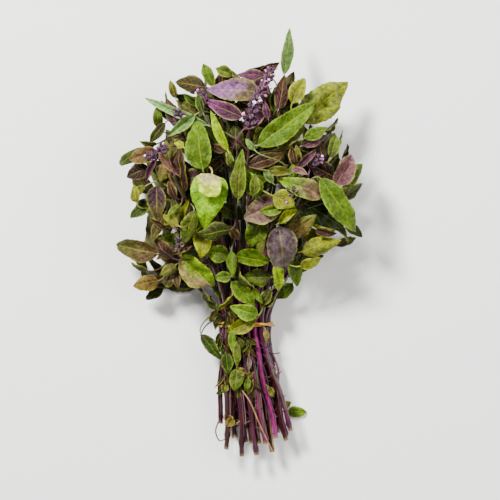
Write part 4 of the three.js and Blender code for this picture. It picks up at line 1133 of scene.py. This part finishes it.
def gap_leaf(number, least_gap, lengths, across, along):
    """A leaf for a gap of the crown, or None if there is no gap where the draw falls."""
    random = dice(FILL_SEED + number)
    x, y = between(*across, random()), between(*along, random())
    cx, cy = int(x - ROOM_LOW[0]), int(y - ROOM_LOW[1])
    level = tops[cx - 2 : cx + 3, cy - 2 : cy + 3].max()
    ceiling = dome_height(x, y) - UNDER_DOME[int(y >= LOWER_CROWN_Y)]
    if ceiling - level < least_gap or not inside_outline(np.array([x, y])):
        return None
    z = between(max(level + 2.5, 3), ceiling, random())
    heading = math.atan2(y - 70, x - 2) + 2.4 * (random() - 0.5)
    way = unit(np.array([math.cos(heading), math.sin(heading), 0.9 * random() - 0.5]))
    length = between(*lengths, random() ** 1.3)
    middle = np.array([x, y, z])
    tilt = np.array([random() - 0.5, random() - 0.5, 0]) * 1.6
    return SimpleNamespace(
        base=middle - way * length / 2, tip=middle + way * length / 2,
        face=outward(x, z) * 0.7 + np.array([0, 0, 1.0]) + tilt,
        width=length * between(*FILL_WIDTH, random()),
        arch=between(*FILL_ARCH, random()), fold=between(*FILL_FOLD, random()),
        wave=0.3 + 0.6 * random(), phase=random(), root=None, leave=None,
        seed=3000 + number, fine=0.72, curl=1.1, crease=1.4, look=look_at(x, y, random),
    )


def fits(surface):
    flat = surface.reshape(-1, 3)
    under_dome = all(
        z < dome_height(x, y) + OVER_DOME[int(y >= LOWER_CROWN_Y)] for x, y, z in flat
    )
    if flat[:, 2].min() < LOWEST_BLADE or not under_dome or not inside_outline(flat).all():
        return False
    return is_free(surface, TOUCHING) and not hides_shown(surface)


fill_tries = [
    (number + ROUND_SEED * i, *where)
    for i, (tries, *where) in enumerate(FILL_ROUNDS) for number in range(tries)
]
for fill_try in fill_tries:
    leaf = gap_leaf(*fill_try)
    if leaf is not None and fits(blade_sample(leaf, 2.0, BLADE_FOOT)):
        stem = grow_from_nearest(leaf)
        if stem is not None:
            take_room(blade_sample(leaf, SAMPLE_STEP, BLADE_FOOT))
            stem.leaves.append(leaf)

# Litter on the cut stems
# Torn leaves, scraps and small wilted bits, olive to brown, left where the stems were stripped.
# They cling to the front stems round the tie, each by its own petiole.

# The larger ones: base and tip of the blade, width, arch, fold, look
SCRAPS = [
    (-5, -31, 26.5, -6.5, -47, 26, 11, 0.7, 0.5, "olive_green"),
    (1, -34, 27, -6, -31, 28.5, 6, 0.6, 0.5, "olive_tan"),
    (3, -38, 26.5, 1, -46, 26.5, 6, 0.6, 0.5, "olive_green"),
    (-9, -4, 26.5, -7.5, -21, 25.5, 6, 0.5, 0.6, "fresh"),
    (-5, -13, 26.5, -5, -30, 26, 6, 0.5, 0.5, "olive_green"),
    (-13, -20, 24.5, -11, -35, 24, 9, 0.6, 0.5, "dark_green"),
    (3.5, -22, 26, 3.5, -32, 26, 4.5, 0.5, 0.6, "grey_mauve"),
    (15, -3.5, 25, 16.5, -13, 24.5, 4.5, 0.5, 0.5, "olive_tan"),
    (-8, -66, 24.5, -12, -72, 23.5, 7, 0.9, 0.8, "tan_gold"),
    (17, -44, 24.5, 21, -51, 24.5, 5, 0.6, 0.6, "olive"),
    (-17, -6, 15, -20, -12, 14, 4, 0.6, 0.6, "black_green"),
    (-17.5, -14, 15, -19.5, -21, 14, 3.5, 0.6, 0.6, "dark_olive"),
    (-16, 5, 22, -21, 1.5, 20, 4.5, 0.6, 0.6, "black_green"),
    (14, 13, 31, 22, 20, 32, 6, 0.7, 0.5, "dark_olive"),
]
SCRAP_SEED = 20100
# The small bits between them, strewn over the left of the front
LITTER = 46
LITTER_SEED = 31000
LITTER_X = (-20, 9)
LITTER_Y = (-52, 20)
LITTER_LENGTH = (5, 12)
LITTER_LOOKS = ["dark_olive", "olive_brown", "purple_brown", "black_green", "olive_brown", "olive"]

front_points, front_stems = [], []
for stem in stems:
    if stem.row >= 2:
        for y in np.arange(stem.cut[1] + 4, 30, 2):
            front_points.append(stem_point(stem, y))
            front_stems.append(stem)
front_points = np.array(front_points)
for number in range(LITTER):
    random = dice(LITTER_SEED + number)
    x, y = between(*LITTER_X, random()), between(*LITTER_Y, random() ** 0.7)
    near = np.hypot(front_points[:, 0] - x, front_points[:, 1] - y) < 3
    if near.any():
        z = front_points[near, 2].max() + between(1.8, 3.2, random())
        turn, length = 1.1 * (2 * random() - 1), between(*LITTER_LENGTH, random())
        way = length * np.array([math.sin(turn), -math.cos(turn), -0.15])
        look = pick(LITTER_LOOKS, random)
        SCRAPS.append((
            x, y, z, x + way[0], y + way[1], z + way[2], between(2.5, 6, random()),
            between(0.3, 1.2, random()), between(0.3, 1, random()), look,
        ))
for number, (bx, by, bz, tx, ty, tz, width, arch, fold, look) in enumerate(SCRAPS):
    base = np.array([bx, by, bz], dtype=float)
    nearest = int(np.argmin(np.linalg.norm(front_points - base - [0, 2, 0], axis=1)))
    front_stems[nearest].leaves.append(SimpleNamespace(
        base=base, tip=np.array([tx, ty, tz], dtype=float), face=np.array([0.1, 0, 1.0]),
        width=width, arch=arch, fold=fold, wave=0.6, phase=0.3, root=front_points[nearest],
        leave=np.zeros(3), seed=SCRAP_SEED + number, fine=1.0, curl=1.0, crease=1.0, look=look,
    ))

# Flower spikes and buds
# Whorls of bell-shaped purple calyxes round a thin axis, some with pale pink flowers. Clusters of
# dry buds sit on short shoots in the crown. All of it is soft and dull, with a fine nap.

# The bells of the calyx and of the flower in it, as places along them and radii there
CALYX = [(0, 0.3), (0.2, 0.75), (0.5, 1.0), (0.85, 0.95), (1.0, 1.25), (0.92, 0.95), (0.6, 0.5)]
COROLLA = [(0.5, 0.4), (1.0, 0.55), (1.35, 0.75), (1.55, 1.3), (1.5, 0.9), (1.2, 0.4)]
CALYX_LENGTH = 3.6
CALYX_RADIUS = 1.05
PEDICEL_RADIUS = 0.35
PURPLE_CALYX = ["#411437", "#562947", "#330822", "#653d53", "#4b2131"]
DRY_CALYX = ["#3f2e24", "#574734", "#321f1b", "#6b5c3f", "#41222c"]
PALE_FLOWER = ["#f394c5", "#ffe7ff", "#b36895"]
AXIS_RADIUS = 0.8
AXIS_RINGS = 26
LAST_WHORL = 0.985
WHORL_SIZES = (1.1, 0.6)
SPIKE_GAP = 0.4
SPIKE_SEED = 8000
BUD_SEED = 8100
NECK_LENGTH = 9
ROOT_BELOW = 14
# Bud clusters: where each ends and the way its last part points, its whorls, whether it is purple
CLUSTERS = [
    (-13, 176, 50, 0.2, 1.0, 4, False),
    (-30, 162, 66, -0.3, 1.0, 5, True),
    (-46, 149, 66, -0.2, 0.8, 4, True),
    (-58, 124, 68, -0.6, 0.6, 6, True),
    (-66, 118, 64, -1.0, -0.1, 4, True),
    (-45, 66, 62, -0.2, 1.0, 4, False),
    (-51, 52, 52, -0.8, -0.3, 5, False),
    (34, 94, 78, 0.6, 0.4, 3, False),
    (52, 116, 66, 0.8, 0.7, 4, True),
]
# Spikes: stem row and place, path, start of the whorls, whorls, calyxes, reach, tints, flowers
SPIKES = {
    "flower_spike": (
        (4, 3), [(5, 146, 77), (9, 158, 76), (15, 168, 72), (19, 178, 68)],
        0.12, 14, 6, 4.6, PURPLE_CALYX, 0.22,
    ),
    "dry_spike": (
        (3, 6), [(42, 50, 41), (48, 54, 41), (53, 60, 40)], 0.25, 7, 5, 2.8, DRY_CALYX, 0.05,
    ),
}


def smooth_path(points, count):
    """A Catmull-Rom curve through the points."""
    points = np.asarray(points, dtype=float)
    padded = np.concatenate([[2 * points[0] - points[1]], points, [2 * points[-1] - points[-2]]])
    result = []
    for t in np.linspace(0, len(points) - 1 - 1e-6, count):
        a, b, c, d = padded[int(t) : int(t) + 4]
        f = t - int(t)
        result.append(0.5 * (
            2 * b + (c - a) * f + (2 * a - 5 * b + 4 * c - d) * f**2
            + (3 * b - 3 * c + d - a) * f**3
        ))
    return np.array(result)


def add_bell(pieces, skin, profile, base, way, length, radius, tint):
    middles = np.array([base + way * length * step for step, _ in profile])
    ways = np.repeat(way[None], len(profile), axis=0)
    reference = np.array([0.3, 0.5, 0.8]) if abs(way[2]) > 0.8 else np.array([0, 0, 1.0])
    tints = np.array([tint] * len(profile))
    # Painted shade: the innermost ring, inside the hollow of the bell, is painted darker
    tints[-1, :3] *= 0.35
    radii = [radius * wide for _, wide in profile]
    points, faces, spots, tints = ringed(middles, ways, radii, 8, tints, reference=reference)
    pieces.add(points, faces, skin, spots, tints)


def add_spike(pieces, path, first, whorls, calyxes, reach, tints, flowers, seed, skins):
    """An axis along the path, with whorls of calyxes from its part first on."""
    random = dice(seed)
    axis = smooth_path(path, AXIS_RINGS)
    thin = np.linspace(AXIS_RADIUS, AXIS_RADIUS / 2, AXIS_RINGS)
    add_tube(pieces, skins[0], axis, thin, 8, [rgba(tints[2])] * AXIS_RINGS)
    for whorl in range(whorls):
        at = between(first, LAST_WHORL, whorl / (whorls - 1)) * (AXIS_RINGS - 1)
        k = min(int(at), AXIS_RINGS - 2)
        middle = between(axis[k], axis[k + 1], at - k)
        tangent = unit(axis[k + 1] - axis[k])
        side = unit(np.cross([0, 0, 1.0], tangent))
        up = np.cross(tangent, side)
        size = between(*WHORL_SIZES, whorl / whorls)
        for c in range(calyxes):
            angle = 2 * math.pi * (c + 0.5 * (whorl % 2) + 0.3 * random()) / calyxes
            out = side * math.cos(angle) + up * math.sin(angle)
            way = unit(out + tangent * (0.5 + 0.5 * random()) - np.array([0, 0, 0.2]))
            start = middle + way * reach * size * (0.3 + 0.25 * random())
            stalk = [middle, between(middle, start, 0.5), start]
            add_tube(
                pieces, skins[0], stalk, [PEDICEL_RADIUS] * 3, 6, [rgba(tints[0])] * 3,
                reference=unit(np.cross(way, [0.2, 0.3, 0.9])),
            )
            tint = rgba(pick(tints, random))
            length = CALYX_LENGTH * size * (0.8 + 0.4 * random())
            radius = CALYX_RADIUS * size
            add_bell(pieces, skins[1], CALYX, start, way, length, radius, tint)
            if random() < flowers:
                petal = rgba(pick(PALE_FLOWER, random))
                add_bell(pieces, skins[1], COROLLA, start, way, length, radius, petal)


def calyx_material():
    """Dry to fresh calyx skin: dull and papery with a fine nap, blotched darker."""
    material, tree, shader = new_material(
        "basil_calyx_nap", Roughness=0.75, IOR=1.4, Sheen_Weight=0.25, Sheen_Roughness=0.5
    )
    where = add_node(tree, "TexCoord", out="Object")
    # Blotches of 1.5 mm
    blotch = add_node(tree, "TexNoise", {"Vector": where, "Scale": 700.0, "Detail": 3.0})
    mottle(tree, shader, blotch, (0.35, 0.65), (0.5, 1.5), 0.5)
    return material


calyx_nap = calyx_material()

# Straws, buds and spikes on their stems
# Loose dry stems and thin threads are caught on the front stems, and short shoots with dry buds
# grow in the crown. Each stem is one piece with all that grows on it, and so is each of two spikes.

STRAW_RINGS = 22
# Path, radius and tint of each straw
STRAWS = [
    ([(-1, -42, 25.5), (4, -54, 26.6), (11, -70, 26), (20, -89, 24)], 0.6, "#8b6637"),
    ([(5, -15, 25.3), (11, -16.5, 26.6), (18, -15.5, 24.6)], 0.5, "#190109"),
    ([(18, -18, 20), (21, -20.5, 19), (25.5, -20, 18)], 0.45, "#312d22"),
    ([(-15, -68, 18), (-20, -75, 19), (-17, -82, 19.5), (-11, -79, 20)], 0.55, "#200107"),
    ([(-8, -60, 21.5), (-14, -66, 23.5), (-8, -71, 24), (-3, -68, 23)], 0.7, "#6b4925"),
    ([(-15, 9, 17), (-22, 12, 18), (-25, 17, 19), (-23, 20, 19.5)], 0.6, "#160a11"),
    ([(-13, 4, 20), (-19, 4, 20), (-27, -1, 17), (-31, -8, 15)], 0.6, "#17160c"),
]
for path, radius, tint in STRAWS:
    nearest = int(np.argmin(np.linalg.norm(front_points - path[0], axis=1)))
    front_stems[nearest].straws.append(([front_points[nearest], *path[1:]], radius, tint))

for number, (cx, cy, cz, wx, wy, whorls, is_purple) in enumerate(CLUSTERS):
    end = np.array([cx, cy, cz], dtype=float)
    neck = end - NECK_LENGTH * unit(np.array([wx, wy, 0.25]))
    # Shoots rise along the stems, so a root below the neck is better than one beside it
    gaps = np.linalg.norm(root_points - neck, axis=1)
    gaps += 0.8 * np.abs(root_points[:, 1] - neck[1] + ROOT_BELOW)
    nearest = int(np.argmin(gaps))
    stem, y = root_stems[nearest]
    root = root_points[nearest]
    path = [root, between(root, neck, 0.55) + stem_tangent(stem, y) * 3, neck, end]
    tints = PURPLE_CALYX if is_purple else DRY_CALYX
    stem.buds.append((path, whorls, tints, BUD_SEED + number))

for stem in stems:
    pieces = Pieces()
    add_stem(pieces, stem)
    for leaf in stem.leaves:
        add_leaf(pieces, leaf)
    for path, whorls, tints, seed in stem.buds:
        add_spike(pieces, path, 0.66, whorls, 5, 2.6, tints, 0.06, seed, (3, 4))
    for path, radius, tint in stem.straws:
        radii = np.linspace(radius, 0.7 * radius, STRAW_RINGS)
        straw_tints = [rgba(tint)] * STRAW_RINGS
        add_tube(pieces, 0, smooth_path(path, STRAW_RINGS), radii, 8, straw_tints)
    materials = [stem_skin, blade_upper, blade_under, petiole_rib, calyx_nap]
    pieces.build(f"basil_{stem.node}", stem.node, materials)

for name, (key, path, first, whorls, calyxes, reach, tints, flowers) in SPIKES.items():
    stem = next(stem for stem in stems if (stem.row, stem.place) == key)
    start = stem.tip + SPIKE_GAP * stem_tangent(stem, stem.tip[1] - 1)
    pieces = Pieces()
    seed = SPIKE_SEED + whorls
    add_spike(
        pieces, [start, *path], first, whorls, calyxes, reach, tints, flowers, seed, (0, 1)
    )
    pieces.build(f"basil_{name}", name, [petiole_rib, calyx_nap])

# Rubber band
# One loop of golden tan rubber, wound twice round the stems and crossing itself in front. It is
# extruded and slightly dusty, with soft edges.

BAND_WIDTH = 1.5
BAND_THICKNESS = 1
# Its two strands lie this far to either side of y = 0, and hop over each other at the crossing
BAND_STRAND = 1.15
BAND_CROSSING = 0.24
BAND_HOP = 1.45
HOP_RUN = 0.55
BAND_STEPS = 288
BAND_SIDES = 16
SOFT_EDGE = 0.45
DARK_RUBBER = "#7f5b0b"
TAN_RUBBER = "#c99601"


def band_ring(t):
    """A point of the band's middle line, and the way out there, seen along the stems."""
    offset = TIE_CENTRE[1] - BAND_THICKNESS / 2 - 2 * ROW_PITCH
    near, far, low = 5 * STEM_PITCH / 2, TIE_HALF_WIDTH, 2 * ROW_PITCH
    corners = np.array(
        [[near, -low], [far, 0], [near, low], [-near, low], [-far, 0], [-near, -low]], dtype=float
    )
    runs = np.roll(corners, -1, axis=0) - corners
    angles = np.arctan2(runs[:, 1], runs[:, 0])
    before = np.roll(angles, 1)
    sweeps = (angles - before) % (2 * math.pi)
    lengths = np.stack([sweeps * offset, np.linalg.norm(runs, axis=1)], axis=1).ravel()
    left = (t / (2 * math.pi)) % 1 * lengths.sum()
    k = 0
    while left > lengths[k] and k < len(lengths) - 1:
        left -= lengths[k]
        k += 1
    angle = before[k // 2] - math.pi / 2 + (sweeps[k // 2] if k % 2 else left / offset)
    out = np.array([math.cos(angle), math.sin(angle)])
    point = corners[k // 2] + out * offset
    if k % 2:
        point = point + np.array([-out[1], out[0]]) * left
    return point, out


def band_material():
    """Natural rubber band: matt, with dust in fine lines along it."""
    material, tree, shader = new_material("tan_rubber", Roughness=0.5, IOR=1.52)
    where = add_node(tree, "TexCoord", out="Object")
    # Lines 0.5 mm apart along the band
    stretched = add_node(tree, "Mapping", {"Vector": where, "Scale": (150, 2000, 150)})
    lines = add_node(tree, "TexNoise", {"Vector": stretched, "Scale": 1.0, "Detail": 3.0})
    tans = {0: lines, 6: rgba(DARK_RUBBER), 7: rgba(TAN_RUBBER)}
    tree.links.new(add_node(tree, "Mix", tans, 2, data_type="RGBA"), shader.inputs["Base Color"])
    relief = {"Height": lines, "Strength": 0.3, "Distance": 0.2 * MM}
    tree.links.new(add_node(tree, "Bump", relief), shader.inputs["Normal"])
    return material


band_points = []
for i in range(BAND_STEPS):
    t = 4 * math.pi * i / BAND_STEPS
    point, out = band_ring(t)
    from_crossing = abs(t - 2 * math.pi * (1 + BAND_CROSSING))
    ease = min(max((from_crossing - HOP_RUN) / HOP_RUN, 0), 1)
    hop = BAND_HOP * (1 - ease * ease * (3 - 2 * ease))
    strand = math.cos((t - 2 * math.pi * BAND_CROSSING + math.pi) / 2)
    z = TIE_CENTRE[1] + point[1] + out[1] * hop
    y = BAND_STRAND * math.tanh(4 * strand) + BAND_STRAND * max(0, 1 - z / TIE_CENTRE[1])
    for k in range(BAND_SIDES):
        angle = 2 * math.pi * k / BAND_SIDES
        wide, high = (
            math.copysign(abs(f) ** SOFT_EDGE, f) for f in (math.cos(angle), math.sin(angle))
        )
        r = hop + high * BAND_THICKNESS / 2
        band_points.append([
            TIE_CENTRE[0] + point[0] + out[0] * r,
            y + wide * BAND_WIDTH / 2,
            TIE_CENTRE[1] + point[1] + out[1] * r,
        ])
rows = np.arange(BAND_STEPS)[:, None] * BAND_SIDES
k = np.arange(BAND_SIDES)[None, :]
n = (k + 1) % BAND_SIDES
ahead = (rows + BAND_SIDES) % len(band_points)
band_faces = np.stack([rows + k, ahead + k, ahead + n, rows + n], axis=-1).reshape(-1, 4)
pieces = Pieces()
blank = np.zeros((len(band_points), 2))
pieces.add(np.array(band_points), band_faces, 0, blank, np.ones((len(band_points), 4)))
pieces.build("rubber_band_wound", "rubber_band", [band_material()])

# Floor, light and camera
# A plain pale studio floor under the bunch, one large soft light from the upper left and a weaker
# one from the right. The camera looks straight down from afar, as the photograph does.

FRAME_MM = 350
IMAGE_CENTRE = (4.2, 52.5)
FLOOR_WHITE = "#f4f3f0"
# In metres, as the lights are
CAMERA_HEIGHT = 3.0
SUBJECT_HEIGHT = 0.04
FLOOR_HALF = 3
LIT_POINT = Vector((0, 0.06, 0.03))
SENSOR_MM = 36


def floor_material():
    """Matt white studio sweep."""
    material, _, shader = new_material("matt_studio_floor", Roughness=0.9)
    shader.inputs["Base Color"].default_value = rgba(FLOOR_WHITE)
    return material


floor_mesh = bpy.data.meshes.new("floor")
floor_corners = [(x * FLOOR_HALF, y * FLOOR_HALF, 0) for x, y in [(-1, -1), (1, -1), (1, 1), (-1, 1)]]
floor_mesh.from_pydata(floor_corners, [], [(0, 1, 2, 3)])
floor_mesh.materials.append(floor_material())
floor = bpy.data.objects.new("floor", floor_mesh)
bpy.context.scene.collection.objects.link(floor)


def add_light(name, place, size, power):
    data = bpy.data.lights.new(name, "AREA")
    data.size = size
    data.energy = power
    light = bpy.data.objects.new(name, data)
    light.location = place
    light.rotation_euler = (LIT_POINT - Vector(place)).to_track_quat("-Z", "Y").to_euler()
    bpy.context.scene.collection.objects.link(light)


add_light("key", (-0.75, 1.0, 1.5), 0.4, 112)
add_light("fill", (1.0, 0.3, 1.4), 1.2, 28)

world = bpy.data.worlds.new("studio")
bpy.context.scene.world = world
world.use_nodes = True
world.node_tree.nodes["Background"].inputs["Color"].default_value = (1, 1, 1, 1)
world.node_tree.nodes["Background"].inputs["Strength"].default_value = 0.26

camera_data = bpy.data.cameras.new("camera")
camera = bpy.data.objects.new("camera", camera_data)
camera.location = (IMAGE_CENTRE[0] * MM, IMAGE_CENTRE[1] * MM, CAMERA_HEIGHT)
camera_data.sensor_width = SENSOR_MM
camera_data.lens = SENSOR_MM * (CAMERA_HEIGHT - SUBJECT_HEIGHT) / (FRAME_MM * MM)
camera_data.clip_end = 20
bpy.context.scene.collection.objects.link(camera)
bpy.context.scene.camera = camera
